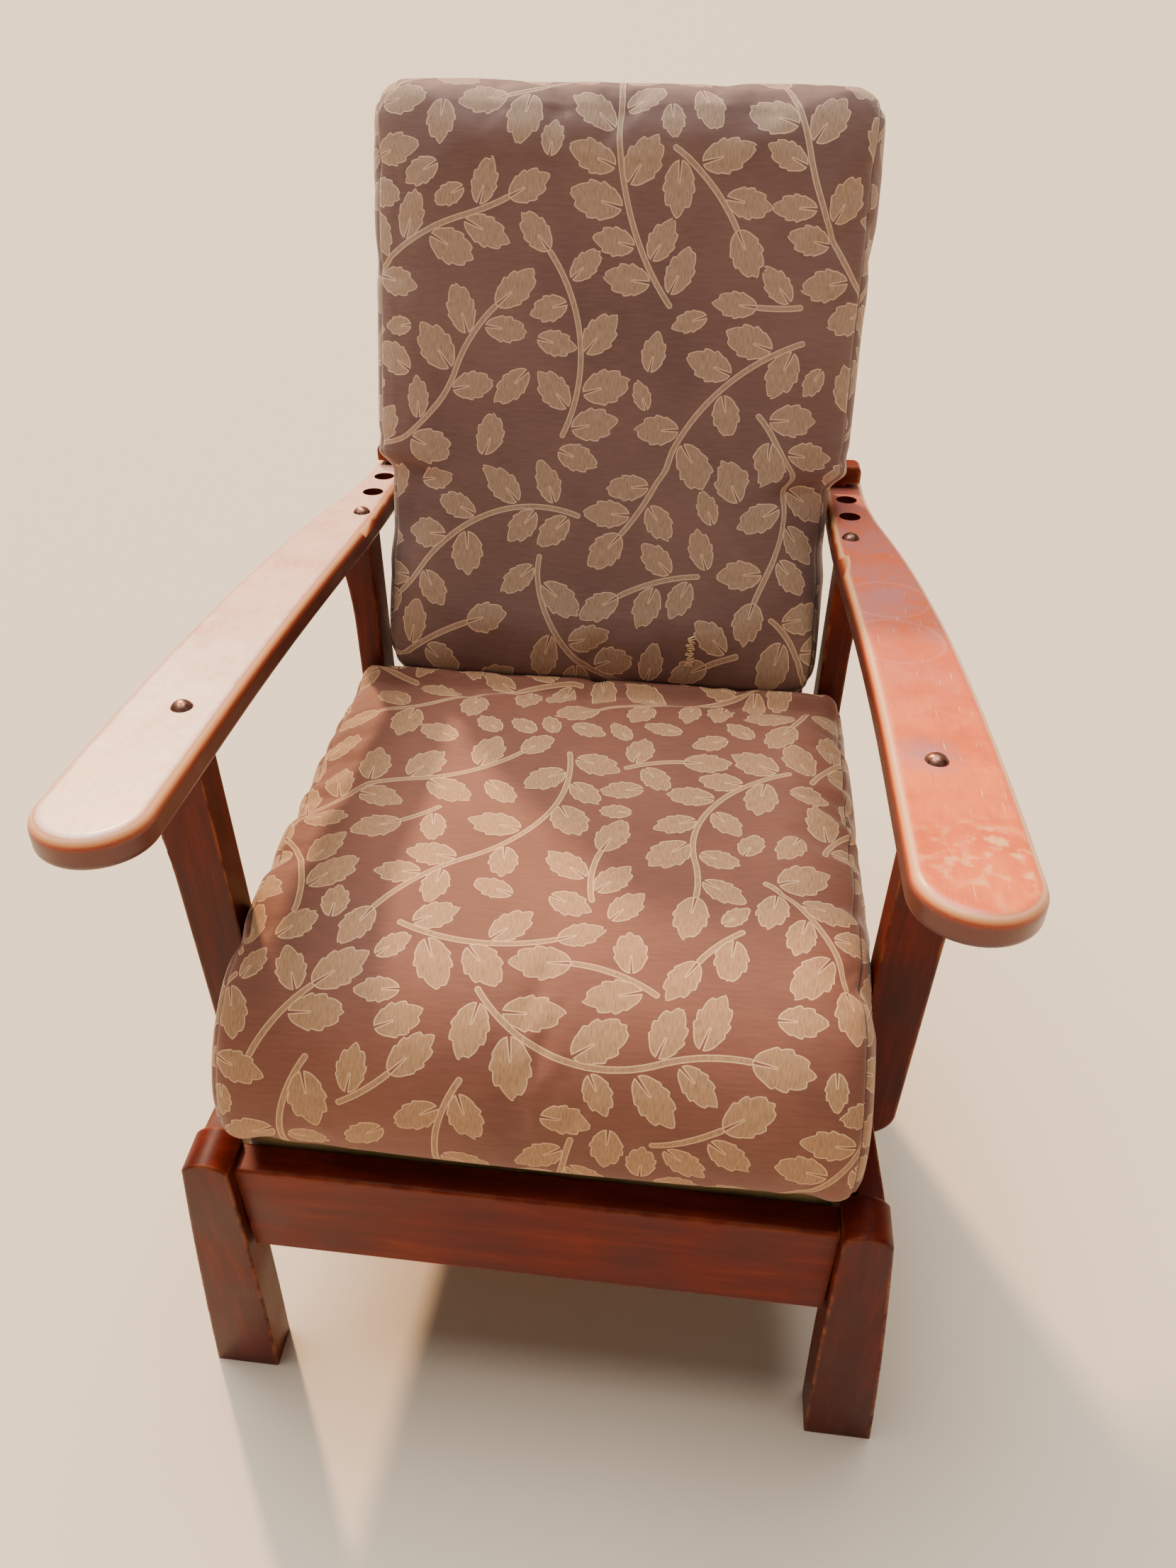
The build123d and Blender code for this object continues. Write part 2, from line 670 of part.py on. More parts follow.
def back_rail(middle_u, height, mortise_u):
    """Rail between the stiles with its tenons and the mortises for the upright slats."""
    with BuildPart() as rail:
        with BuildSketch(back_rear_face):
            with Locations((0, middle_u)):
                Rectangle(2 * stile_inner, height)
        extrude(amount=back_thick)
        fillet(rail.edges().filter_by(Axis.X), radius=rail_edge_round)
        with BuildSketch(back_middle.offset(-back_tenon_thick / 2)):
            with Locations((0, middle_u)):
                Rectangle(2 * (stile_inner + back_tenon_length), height - 2 * back_shoulder)
        extrude(amount=back_tenon_thick)
        with BuildSketch(back_middle.offset(-slat_thick / 2 - joint_gap)):
            with Locations(*[(x, mortise_u) for x in slat_x]):
                Rectangle(slat_width + 2 * joint_gap, 2 * (slat_tongue + joint_gap))
        extrude(amount=slat_thick + 2 * joint_gap, mode=Mode.SUBTRACT)
    return rail


back_top_rail = back_rail(rail_middles[1], top_rail_height, back_length - top_rail_height)
back_bottom_rail = back_rail(rail_middles[0], bottom_rail_height, bottom_rail_height)
with BuildPart(mode=Mode.PRIVATE) as screw_bores:
    with BuildSketch(back_screw_plane):
        with Locations(*[(x, hinge_screw_drop) for x in leaf_screw_x]):
            Circle(hinge_screw_radius + joint_gap)
    extrude(amount=-hinge_screw_length)
with back_bottom_rail:
    add(screw_bores.part, mode=Mode.SUBTRACT)

back_slat_parts = []
for x in slat_x:
    with BuildPart() as back_slat:
        with BuildSketch(back_middle.offset(-slat_thick / 2)):
            with Locations((x, bottom_rail_height + rail_span / 2)):
                Rectangle(slat_width, rail_span + 2 * slat_tongue)
        extrude(amount=slat_thick)
        fillet(back_slat.edges().sort_by(SortBy.LENGTH)[-4:], radius=rail_edge_round)
    back_slat_parts.append(back_slat)

# Butt hinges: both leaves lie on the rear faces, the knuckles share one pin
knuckle_length = (hinge_length - (hinge_knuckles - 1) * hinge_knuckle_gap) / hinge_knuckles
knuckle_step = knuckle_length + hinge_knuckle_gap
knuckle_middles = [-hinge_length / 2 + knuckle_length / 2 + n * knuckle_step for n in range(hinge_knuckles)]
rail_leaf_plane = Plane((0, front_y + rear_leg_rear, axis_z), x_dir=(1, 0, 0), z_dir=(0, -1, 0))
barrel_plane = Plane((0, front_y + axis_y, axis_z), x_dir=(0, 1, 0), z_dir=(1, 0, 0))


def hinge_leaf_part(leaf_plane, up, own, other, middle_x):
    """One leaf: a plate with its knuckles, cleared round the knuckles of the other leaf."""
    with BuildPart() as leaf:
        with BuildSketch(leaf_plane):
            with Locations((middle_x, up * hinge_leaf_height / 2)):
                Rectangle(hinge_length, hinge_leaf_height)
        extrude(amount=-hinge_leaf)
        for n in other:
            with BuildSketch(barrel_plane.offset(middle_x + knuckle_middles[n] - knuckle_step / 2)):
                Circle(hinge_offset + hinge_cut_gap)
            extrude(amount=knuckle_step, mode=Mode.SUBTRACT)
        for n in own:
            with BuildSketch(barrel_plane.offset(middle_x + knuckle_middles[n] - knuckle_length / 2)):
                Circle(hinge_radius)
            extrude(amount=knuckle_length)
        with BuildSketch(barrel_plane.offset(middle_x - hinge_length / 2 - overrun)):
            Circle(hinge_pin_radius + hinge_pin_gap)
        extrude(amount=hinge_length + 2 * overrun, mode=Mode.SUBTRACT)
        with BuildSketch(leaf_plane.offset(overrun)):
            with Locations(*[(middle_x + hinge_screw_spacing * n, up * hinge_screw_drop) for n in (-1, 0, 1)]):
                Circle(hinge_screw_radius + joint_gap)
        extrude(amount=-(hinge_leaf + 2 * overrun), mode=Mode.SUBTRACT)
    return leaf


odd = range(0, hinge_knuckles, 2)
even = range(1, hinge_knuckles, 2)
hinge_base_right = hinge_leaf_part(rail_leaf_plane, -1, odd, even, hinge_x)
hinge_base_left = hinge_leaf_part(rail_leaf_plane, -1, odd, even, -hinge_x)
hinge_flap_right = hinge_leaf_part(back_rear_face, 1, even, odd, hinge_x)
hinge_flap_left = hinge_leaf_part(back_rear_face, 1, even, odd, -hinge_x)


def hinge_pin_part(middle_x):
    with BuildPart() as pin:
        with BuildSketch(barrel_plane.offset(middle_x - hinge_length / 2)):
            Circle(hinge_pin_radius)
        extrude(amount=hinge_length)
        for end in (middle_x - hinge_length / 2 - hinge_pin_head_height, middle_x + hinge_length / 2):
            with BuildSketch(barrel_plane.offset(end)):
                Circle(hinge_pin_head)
            extrude(amount=hinge_pin_head_height)
    return pin


hinge_pin_right = hinge_pin_part(hinge_x)
hinge_pin_left = hinge_pin_part(-hinge_x)


def leaf_screws(screw_plane, up):
    with BuildPart() as screws:
        with BuildSketch(screw_plane.offset(hinge_leaf)):
            with Locations(*[(x, up * hinge_screw_drop) for x in leaf_screw_x]):
                Circle(hinge_screw_radius)
        extrude(amount=-hinge_screw_length)
        with BuildSketch(screw_plane.offset(hinge_leaf)):
            with Locations(*[(x, up * hinge_screw_drop) for x in leaf_screw_x]):
                Circle(hinge_screw_head)
        extrude(amount=hinge_screw_head_height)
    return screws


rail_hinge_screws = leaf_screws(rail_screw_plane, -1)
back_hinge_screws = leaf_screws(back_screw_plane, 1)

# Rest bar: squared bar across both arms with a turned peg under each end
with BuildPart() as rest_bar:
    with BuildSketch(arm_plane):
        with Locations((0, last_peg)):
            Rectangle(2 * bar_half_length, bar_depth)
    extrude(amount=bar_height)
    fillet(rest_bar.faces().sort_by(arm_up)[-1].edges().filter_by(Axis.X, reverse=True), radius=bar_end_round)
    fillet(rest_bar.edges().filter_by(Axis.X), radius=bar_round)
    with BuildSketch(arm_plane):
        for side in (-1, 1):
            with Locations((side * (bar_half_length - bar_relief_length / 2), last_peg)):
                Rectangle(bar_relief_length, bar_depth + 2 * overrun)
    extrude(amount=bar_relief, mode=Mode.SUBTRACT)
    with BuildSketch(arm_plane.offset(-overrun)):
        with Locations((peg_x, last_peg), (-peg_x, last_peg)):
            Circle(peg_radius + joint_gap)
    extrude(amount=overrun + peg_socket, mode=Mode.SUBTRACT)

with BuildPart() as bar_peg_right:
    with BuildSketch(arm_plane.offset(peg_socket)):
        with Locations((peg_x, last_peg)):
            Circle(peg_radius)
    extrude(amount=-(peg_socket + peg_length))
    chamfer(bar_peg_right.faces().sort_by(arm_up)[0].edges(), length=peg_end_round)
with BuildPart() as bar_peg_left:
    mirror(bar_peg_right.part, about=Plane.YZ)

# Cushions: stacked outlines joined by ruled faces. Each level is (share of the thickness,
# share of the side inset, share of the front inset, share of the corner rounding added)
back_levels = [
    (0.00, 0.16, 0.10, 0.3),
    (0.12, 0.04, 0.03, 0.1),
    (0.35, 0.00, 0.00, 0.0),
    (0.62, 0.02, 0.02, 0.0),
    (0.80, 0.10, 0.10, 0.2),
    (0.91, 0.28, 0.28, 0.5),
    (0.97, 0.55, 0.55, 0.8),
    (1.00, 1.00, 1.00, 1.0),
]

# The seat cushion is highest a third of the way back and rolls over at the front
seat_half = post_inner - seat_cushion_side_gap
seat_rear = rear_leg_front - seat_cushion_rear_gap
seat_crest = deck_top + seat_cushion_thick
side_view = Plane((0, front_y, 0), x_dir=(0, 1, 0), z_dir=(1, 0, 0))
with BuildPart() as seat_cushion:
    with BuildSketch(side_view):
        with BuildLine():
            under = Line(
                (seat_rear - seat_rear_round, deck_top),
                (seat_cushion_front + seat_under_round, deck_top),
            )
            tip = TangentArc(
                under @ 1,
                (seat_cushion_front, deck_top + seat_under_round),
                tangent=(-1, 0),
            )
            nose = TangentArc(
                tip @ 1,
                (seat_cushion_front + seat_nose_depth, deck_top + seat_nose_height),
                tangent=tip % 1,
            )
            roll = TangentArc(
                nose @ 1,
                (seat_cushion_front + seat_roll_depth, seat_crest - seat_roll_drop),
                tangent=nose % 1,
            )
            crest = TangentArc(
                roll @ 1,
                (seat_cushion_front + seat_crest_depth, seat_crest),
                tangent=roll % 1,
            )
            slope = TangentArc(
                crest @ 1,
                (seat_rear - seat_rear_round, seat_crest - seat_cushion_fall),
                tangent=crest % 1,
            )
            slope_end = slope % 1
            shoulder_angle = (atan2(slope_end.Y, slope_end.X) - pi / 2) / 2
            shoulder = TangentArc(
                slope @ 1,
                (seat_rear, (slope @ 1).Y + seat_rear_round * tan(shoulder_angle)),
                tangent=slope % 1,
            )
            rear = Line(shoulder @ 1, (seat_rear, deck_top + seat_rear_round))
            TangentArc(rear @ 1, under @ 0, tangent=(0, -1))
        make_face()
    extrude(amount=seat_half, both=True)
    fillet(seat_cushion.faces().filter_by(Axis.X).edges(), radius=seat_side_round)

# The back cushion is pinched where it passes between the arms
cushion_face = back_plane.offset(back_front_v)
waist_half = arm_rear_inner - back_cushion_side_gap
chest_half = waist_half + back_cushion_overhang
waist_u = back_cushion_foot_height + back_cushion_waist_rise
chest_u = waist_u + back_cushion_chest_rise
shoulder_u = chest_u + back_cushion_shoulder_rise
with BuildPart() as back_cushion:
    for level, side_share, end_share, round_share in back_levels:
        inset = back_crown_inset * side_share
        base_u = back_cushion_foot_height + back_crown_inset * end_share
        top_u = shoulder_u - back_crown_inset * end_share
        with BuildSketch(cushion_face.offset(back_cushion_thick * level)) as outline:
            with BuildLine():
                Polyline(
                    (waist_half - inset, base_u),
                    (waist_half - inset, waist_u),
                    (chest_half - inset, chest_u),
                    (chest_half - inset, top_u),
                    (inset - chest_half, top_u),
                    (inset - chest_half, chest_u),
                    (inset - waist_half, waist_u),
                    (inset - waist_half, base_u),
                    close=True,
                )
            make_face()
            corners = outline.vertices().sort_by(Axis.Y)
            fillet([*corners[:2], *corners[-2:]], radius=back_corner_round * (1 + round_share))
    loft(ruled=True)

pieces = {
    "front_leg_left": front_leg_left,
    "front_leg_right": front_leg_right,
    "rear_leg_left": rear_leg_left,
    "rear_leg_right": rear_leg_right,
    "front_rail": front_rail,
    "rear_rail": rear_rail,
    "side_rail_left": side_rail_left,
    "side_rail_right": side_rail_right,
    "arm_post_left": arm_post_left,
    "arm_post_right": arm_post_right,
    "armrest_left": armrest_left,
    "armrest_right": armrest_right,
    "dome_bolts": dome_bolts,
    "post_screws": post_screws,
    "seat_cleat_left": seat_cleat_left,
    "seat_cleat_right": seat_cleat_right,
    "corner_block_left": corner_block_left,
    "corner_block_right": corner_block_right,
    "deck_side_bar_left": deck_side_bar_left,
    "deck_side_bar_right": deck_side_bar_right,
    "deck_front_bar": deck_front_bar,
    "deck_rear_bar": deck_rear_bar,
    "deck_cover": deck_cover,
    "back_stile_left": back_stile_left,
    "back_stile_right": back_stile_right,
    "back_top_rail": back_top_rail,
    "back_bottom_rail": back_bottom_rail,
    "hinge_base_left": hinge_base_left,
    "hinge_base_right": hinge_base_right,
    "hinge_flap_left": hinge_flap_left,
    "hinge_flap_right": hinge_flap_right,
    "hinge_pin_left": hinge_pin_left,
    "hinge_pin_right": hinge_pin_right,
    "rail_hinge_screws": rail_hinge_screws,
    "back_hinge_screws": back_hinge_screws,
    "rest_bar": rest_bar,
    "bar_peg_left": bar_peg_left,
    "bar_peg_right": bar_peg_right,
    "seat_cushion": seat_cushion,
    "back_cushion": back_cushion,
}
for number, slat in enumerate(deck_slat_parts, start=1):
    pieces[f"deck_slat_{number}"] = slat
for number, slat in enumerate(back_slat_parts, start=1):
    pieces[f"back_slat_{number}"] = slat

os.makedirs("parts", exist_ok=True)
for name, piece in pieces.items():
    piece.part.label = name
    export_step(piece.part, f"parts/{name}.step")
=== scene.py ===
"""Dressed model of a mission reclining armchair: stained hardwood, leafy upholstery, aged bronze."""
import math

import bmesh
import bpy
import numpy as np
from mathutils import Matrix, Vector, noise
from mathutils.bvhtree import BVHTree
from mathutils.kdtree import KDTree


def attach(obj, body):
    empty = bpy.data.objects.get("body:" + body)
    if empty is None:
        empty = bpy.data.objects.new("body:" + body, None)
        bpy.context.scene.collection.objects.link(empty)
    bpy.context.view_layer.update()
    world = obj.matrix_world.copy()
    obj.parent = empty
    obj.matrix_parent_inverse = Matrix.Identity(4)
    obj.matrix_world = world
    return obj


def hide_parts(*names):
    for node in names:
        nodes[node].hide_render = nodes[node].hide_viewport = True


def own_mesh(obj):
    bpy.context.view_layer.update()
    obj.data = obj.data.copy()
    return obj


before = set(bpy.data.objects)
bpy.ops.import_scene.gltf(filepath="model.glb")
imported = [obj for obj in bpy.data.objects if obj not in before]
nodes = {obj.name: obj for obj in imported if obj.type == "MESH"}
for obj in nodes.values():
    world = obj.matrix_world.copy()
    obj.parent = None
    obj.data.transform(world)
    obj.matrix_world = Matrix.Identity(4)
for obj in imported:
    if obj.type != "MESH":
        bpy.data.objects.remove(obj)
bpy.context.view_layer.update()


# Legs, rails and posts.
# Boards sawn from a close-grained hardwood, stained red-brown and varnished; the stain is nearly
# black-red in the shade, and the varnish has rubbed through to orange on the edges.
def linear(hex_colour):
    """sRGB hex to the linear colour that a shader socket takes."""
    parts = [int(hex_colour[i:i + 2], 16) / 255 for i in (1, 3, 5)]
    return (*[c / 12.92 if c <= 0.04045 else ((c + 0.055) / 1.055) ** 2.4 for c in parts], 1.0)


def add(tree, kind, inputs=None, stops=(), out=None, **settings):
    """Adds a shader node, or another where kind says so, with its settings, a ramp's stops, and its
    values, hex colours and links, and gives its first output in use or the one named by out."""
    made = tree.nodes.new(kind if "Node" in kind else "ShaderNode" + kind)
    for name, value in settings.items():
        setattr(made, name, value)
    for _ in stops[2:]:
        made.color_ramp.elements.new(0.5)
    if stops:
        for element, (place, colour) in zip(made.color_ramp.elements, stops):
            element.position = place
            element.color = linear(colour)
    for key, value in (inputs or {}).items():
        if isinstance(value, bpy.types.NodeSocket):
            tree.links.new(value, made.inputs[key])
        else:
            is_colour = isinstance(value, str) and value.startswith("#")
            made.inputs[key].default_value = linear(value) if is_colour else value
    return made.outputs[out] if out else next((socket for socket in made.outputs if socket.enabled), None)


def new_material(name):
    material = bpy.data.materials.new(name)
    material.use_nodes = True
    material.node_tree.nodes.clear()
    return material, material.node_tree


# The heart of the stain, two tones between, and the bright lines where it took least
WOOD_STOPS = [(0.0, "#4d1000"), (0.42, "#601700"), (0.72, "#711f00"), (1.0, "#842b06")]
# A darker copy of the same stain for the legs, posts and bar pegs: painted shade
SHADED_LEG_STOPS = [(0.0, "#3b0a00"), (0.42, "#4d0f00"), (0.72, "#5f1600"), (1.0, "#742204")]
WORN_EDGE = "#cf7f4a"
# Real pores are 0.2 mm wide; they are drawn coarser, so that they show at this distance
PORE_WIDTH = 0.0011
PORE_STRETCH = 0.045
FIGURE_WIDTH = 0.011
FIGURE_STRETCH = 0.09
EDGE_RADIUS = 0.0035


def stained_wood(name, grain, tilt=0.0, stops=WOOD_STOPS, worn=WORN_EDGE, edge_share=0.55, coat=0.05):
    """Varnished stained hardwood with its grain along X, Y or Z, turned by tilt about X."""
    material, tree = new_material(name)
    spot = add(tree, "TexCoord", out="Object")
    turned = add(tree, "Mapping", {"Vector": spot, "Rotation": (tilt, 0, 0)})
    along = "XYZ".index(grain)
    pore_scale = [1 / PORE_WIDTH] * 3
    pore_scale[along] *= PORE_STRETCH
    figure_scale = [1 / FIGURE_WIDTH] * 3
    figure_scale[along] *= FIGURE_STRETCH
    pores_at = add(tree, "Mapping", {"Vector": turned, "Scale": pore_scale})
    figure_at = add(tree, "Mapping", {"Vector": turned, "Scale": figure_scale})
    pores = add(tree, "TexNoise", {"Vector": pores_at, "Scale": 1.0, "Detail": 3.0})
    figure = add(tree, "TexNoise", {"Vector": figure_at, "Scale": 1.0, "Detail": 4.0, "Distortion": 0.6})
    blotch = add(tree, "TexNoise", {"Vector": turned, "Scale": 14.0, "Detail": 3.0})
    depth = 0.0
    for part, share in ((figure, 0.5), (pores, 0.28), (blotch, 0.42)):
        depth = add(tree, "Math", {0: part, 1: share, 2: depth}, operation="MULTIPLY_ADD")
    spread = add(tree, "MapRange", {"Value": depth, "From Min": 0.42, "From Max": 0.8})
    stain = add(tree, "ValToRGB", {"Fac": spread}, stops)
    # An edge is where the surface faces another way than a bevelled copy of itself
    soft = add(tree, "Bevel", {"Radius": EDGE_RADIUS}, samples=4)
    flat = add(tree, "NewGeometry", out="True Normal")
    facing = add(tree, "VectorMath", {0: soft, 1: flat}, operation="DOT_PRODUCT")
    edge = add(tree, "MapRange",
               {"Value": facing, "From Min": 0.995, "From Max": 0.94, "To Max": edge_share})
    rub = add(tree, "TexNoise", {"Vector": turned, "Scale": 60.0, "Detail": 5.0})
    rubbed = add(tree, "MapRange", {"Value": rub, "From Min": 0.38, "From Max": 0.62})
    wear = add(tree, "Math", {0: edge, 1: rubbed}, operation="MULTIPLY")
    colour = add(tree, "Mix", {"Factor": wear, "A": stain, "B": worn}, data_type="RGBA")
    rough = add(tree, "MapRange",
                {"Value": blotch, "From Min": 0.3, "From Max": 0.7, "To Min": 0.36, "To Max": 0.54})
    bump = add(tree, "Bump", {"Strength": 0.12, "Distance": 0.0004, "Height": depth, "Normal": soft})
    shader = add(tree, "BsdfPrincipled",
                 {"Base Color": colour, "Roughness": rough, "Specular IOR Level": 0.16,
                  "Coat Weight": coat, "Coat Roughness": 0.3, "Normal": bump})
    add(tree, "OutputMaterial", {"Surface": shader})
    return material


def finish_with(material, *names):
    """Puts one material on whole nodes, in place of the plain one they came with."""
    for name in names:
        nodes[name].data.materials.clear()
        nodes[name].data.materials.append(material)


shaded_upright_wood = stained_wood("stained_hardwood_upright_painted_shade", "Z", stops=SHADED_LEG_STOPS)
cross_wood = stained_wood("stained_hardwood_across", "X")
side_wood = stained_wood("stained_hardwood_lengthways", "Y")
finish_with(shaded_upright_wood, "front_leg_left", "front_leg_right", "rear_leg_left", "rear_leg_right",
            "arm_post_left", "arm_post_right")
finish_with(cross_wood, "front_rail", "rear_rail")
finish_with(side_wood, "side_rail_left", "side_rail_right")


# Cleats, corner blocks and the seat deck's frame and slats.
# Rough-sawn pale hardwood that nobody sees in use: never stained, dull, and greyed by dust.
BARE_STOPS = [(0.0, "#6e5336"), (0.5, "#8f7049"), (1.0, "#a98a5f")]
bare_across, bare_along = (
    stained_wood(name, grain, stops=BARE_STOPS, worn="#b39a70", edge_share=0.2, coat=0.0)
    for name, grain in (("bare_hardwood_across", "X"), ("bare_hardwood_lengthways", "Y")))
finish_with(bare_along, "seat_cleat_left", "seat_cleat_right", "deck_side_bar_left", "deck_side_bar_right")
finish_with(bare_across, "corner_block_left", "corner_block_right", "deck_front_bar", "deck_rear_bar",
            "deck_slat_1", "deck_slat_2", "deck_slat_3", "deck_slat_4", "deck_slat_5")


# Armrests.
# Long paddles of the same hardwood, laid nearly level. Years of sun have bleached their tops to salmon;
# further back the top is painted a dusty mauve, a painted shade, and the left arm's top is painted near
# white, a painted glare; the rounded inner edge is painted cream, a painted highlight, the sides stay
# orange-red.
ARM_NOSE = Vector((0.2645, -0.385, 0.668))
FRONT_BOLT = Vector((0.256, -0.2265, 0.654))
WORN_MIDDLE = ARM_NOSE + Vector((0.012, 0.055, 0))
DAMP_MIDDLE = FRONT_BOLT + Vector((-0.006, 0.008, 0))
CUP_RINGS = (((0.248, -0.055, 0.635), 0.036), ((0.248, 0.02, 0.635), 0.034))


def near_mask(tree, spot, wobble, centre, radius, soft):
    """1 within a ragged ring round a point, 0 away from it."""
    away = add(tree, "VectorMath", {0: spot, 1: centre}, operation="DISTANCE")
    ragged = add(tree, "Math", {0: wobble, 1: soft, 2: away}, operation="MULTIPLY_ADD")
    return add(tree, "MapRange", {"Value": ragged, "From Min": radius + soft, "From Max": radius})


def bleached_arm(name, nose, rear, deep_tone, damp_share):
    """An arm whose top is painted darker from nose to rear, a painted shade, with the marks of bolts, cups
    and elbows.
    """
    material, tree = new_material(name)
    whole = add(tree, "TexCoord").node.outputs
    own = whole["Object"]
    parts = add(tree, "SeparateXYZ", {"Vector": own}).node.outputs
    # Marks are set out on the right arm and mirrored to the left one
    mirrored_x = add(tree, "Math", {0: parts["X"]}, operation="ABSOLUTE")
    spot = add(tree, "CombineXYZ", {"X": mirrored_x, "Y": parts["Y"], "Z": parts["Z"]})
    grain_at = add(tree, "Mapping", {"Vector": own, "Scale": (650, 26, 650)})
    scratch_at = add(tree, "Mapping", {"Vector": own, "Rotation": (0, 0, 0.9), "Scale": (900, 45, 45)})
    grain, cloud, mottle, scratch = (
        add(tree, "TexNoise", {"Vector": place, "Scale": scale, "Detail": detail})
        for place, scale, detail in ((grain_at, 1.0, 3.0), (own, 24.0, 6.0), (own, 95.0, 6.0),
                                     (scratch_at, 1.0, 1.0)))
    # The top is painted darker from the nose to the rear: painted shade over the rear of the arm, in the
    # colour given as rear
    painted_shade_share = add(tree, "MapRange", {"Value": parts["Y"], "From Min": -0.20, "From Max": 0.02})
    top = add(tree, "Mix", {"Factor": painted_shade_share, "A": nose, "B": rear}, data_type="RGBA")
    tone = add(tree, "Math", {0: cloud, 1: 0.6}, operation="MULTIPLY")
    tone = add(tree, "Math", {0: mottle, 1: 0.4, 2: tone}, operation="MULTIPLY_ADD")
    deep = add(tree, "MapRange", {"Value": tone, "From Min": 0.36, "From Max": 0.60})
    top = add(tree, "Mix", {"Factor": deep, "A": deep_tone, "B": top}, data_type="RGBA")
    # Over the faded top, one after another: streaks of the old stain, spots worn through near the nose,
    # the damp stain round the front bolt, two faint cup rings, and fine scratches across the grain
    streak = add(tree, "MapRange", {"Value": grain, "From Min": 0.54, "From Max": 0.72, "To Max": 0.35})
    spots = add(tree, "MapRange", {"Value": mottle, "From Min": 0.52, "From Max": 0.66})
    worn = add(tree, "Math", {0: near_mask(tree, spot, cloud, WORN_MIDDLE, 0.03, 0.05), 1: spots},
               operation="MULTIPLY")
    damp = add(tree, "Math", {0: near_mask(tree, spot, mottle, DAMP_MIDDLE, 0.012, 0.032), 1: damp_share},
               operation="MULTIPLY")
    marks = [(streak, "#b45f4c"), (worn, "#f2c08c"), (damp, "#8d7f92")]
    for centre, radius in CUP_RINGS:
        away = add(tree, "VectorMath", {0: spot, 1: centre}, operation="DISTANCE")
        off = add(tree, "Math", {0: away, 1: radius}, operation="SUBTRACT")
        off = add(tree, "Math", {0: off}, operation="ABSOLUTE")
        ring = add(tree, "MapRange", {"Value": off, "From Min": 0.0022, "From Max": 0.0008, "To Max": 0.35})
        ring = add(tree, "Math", {0: ring, 1: cloud}, operation="MULTIPLY")
        marks.append((ring, "#dba9a2"))
    scratched = add(tree, "MapRange", {"Value": scratch, "From Min": 0.72, "From Max": 0.80})
    marks.append((scratched, "#f6d2b0"))
    for share, mark_tone in marks:
        top = add(tree, "Mix", {"Factor": share, "A": top, "B": mark_tone}, data_type="RGBA")
    # The rounded edge is painted by how far it faces up: a painted highlight, cream near the top and orange
    # lower down, going to painted shade, dark red, where it turns sideways; the sides keep their stain, mixed
    # with this painted shade
    lean = add(tree, "SeparateXYZ", {"Vector": whole["Normal"]}, out="Z")
    painted_light_by_facing = add(tree, "ValToRGB", {"Fac": lean}, [
        (0.0, "#4a1407"), (0.16, "#6e240e"), (0.42, "#b04a20"), (0.66, "#e59a63"), (0.84, "#f0b98c"),
        (0.93, "#d98562")])
    side_share = add(tree, "MapRange", {"Value": grain, "From Min": 0.3, "From Max": 0.7})
    side = add(tree, "Mix", {"Factor": side_share, "A": "#5c1d0c", "B": painted_light_by_facing}, data_type="RGBA")
    rounded = add(tree, "MapRange",
                  {"Value": lean, "From Min": 0.3, "From Max": 0.6, "To Min": 0.4, "To Max": 1.0})
    side = add(tree, "Mix", {"Factor": rounded, "A": side, "B": painted_light_by_facing}, data_type="RGBA")
    is_top = add(tree, "MapRange", {"Value": lean, "From Min": 0.90, "From Max": 0.975})
    colour = add(tree, "Mix", {"Factor": is_top, "A": side, "B": top}, data_type="RGBA")
    rough = add(tree, "MapRange",
                {"Value": cloud, "From Min": 0.3, "From Max": 0.7, "To Min": 0.3, "To Max": 0.5})
    height = add(tree, "Math", {0: grain, 1: 0.5, 2: mottle}, operation="MULTIPLY_ADD")
    bump = add(tree, "Bump", {"Strength": 0.10, "Distance": 0.0004, "Height": height})
    shader = add(tree, "BsdfPrincipled",
                 {"Base Color": colour, "Roughness": rough, "Coat Weight": 0.3,
                  "Coat Roughness": 0.28, "Normal": bump})
    add(tree, "OutputMaterial", {"Surface": shader})
    return material


# The left arm's top is painted near white, a painted glare; the right arm's top is salmon, painted darker
# towards the rear as painted shade
finish_with(bleached_arm("pale_varnish_painted_glare", "#fae2d2", "#f3c4ad", "#ecbba3", 0.0), "armrest_left")
finish_with(bleached_arm("salmon_bleached_varnish_painted_shade", "#f4793f", "#b8706a", "#dc6636", 0.75), "armrest_right")


# Dome head bolts, hinges and screws.
# Cast bronze domes with a brown, slightly pitted patina that is rubbed bright on the crown; pressed
# brass hinges gone dull; plain steel screws and hinge pins.
def worn_metal(name, base, bright, roughness, patches_per_metre):
    """Metal with dull patches in its skin, smoother where it is bright."""
    material, tree = new_material(name)
    spot = add(tree, "TexCoord", out="Object")
    patches = add(tree, "TexNoise", {"Vector": spot, "Scale": patches_per_metre, "Detail": 6.0})
    share = add(tree, "MapRange", {"Value": patches, "From Min": 0.35, "From Max": 0.68})
    colour = add(tree, "Mix", {"Factor": share, "A": base, "B": bright}, data_type="RGBA")
    rough = add(tree, "MapRange", {"Value": patches, "From Min": 0.3, "From Max": 0.7,
                                   "To Min": roughness + 0.12, "To Max": roughness})
    bump = add(tree, "Bump", {"Strength": 0.25, "Distance": 0.0003, "Height": patches})
    shader = add(tree, "BsdfPrincipled",
                 {"Base Color": colour, "Roughness": rough, "Metallic": 0.9, "Normal": bump})
    add(tree, "OutputMaterial", {"Surface": shader})
    return material


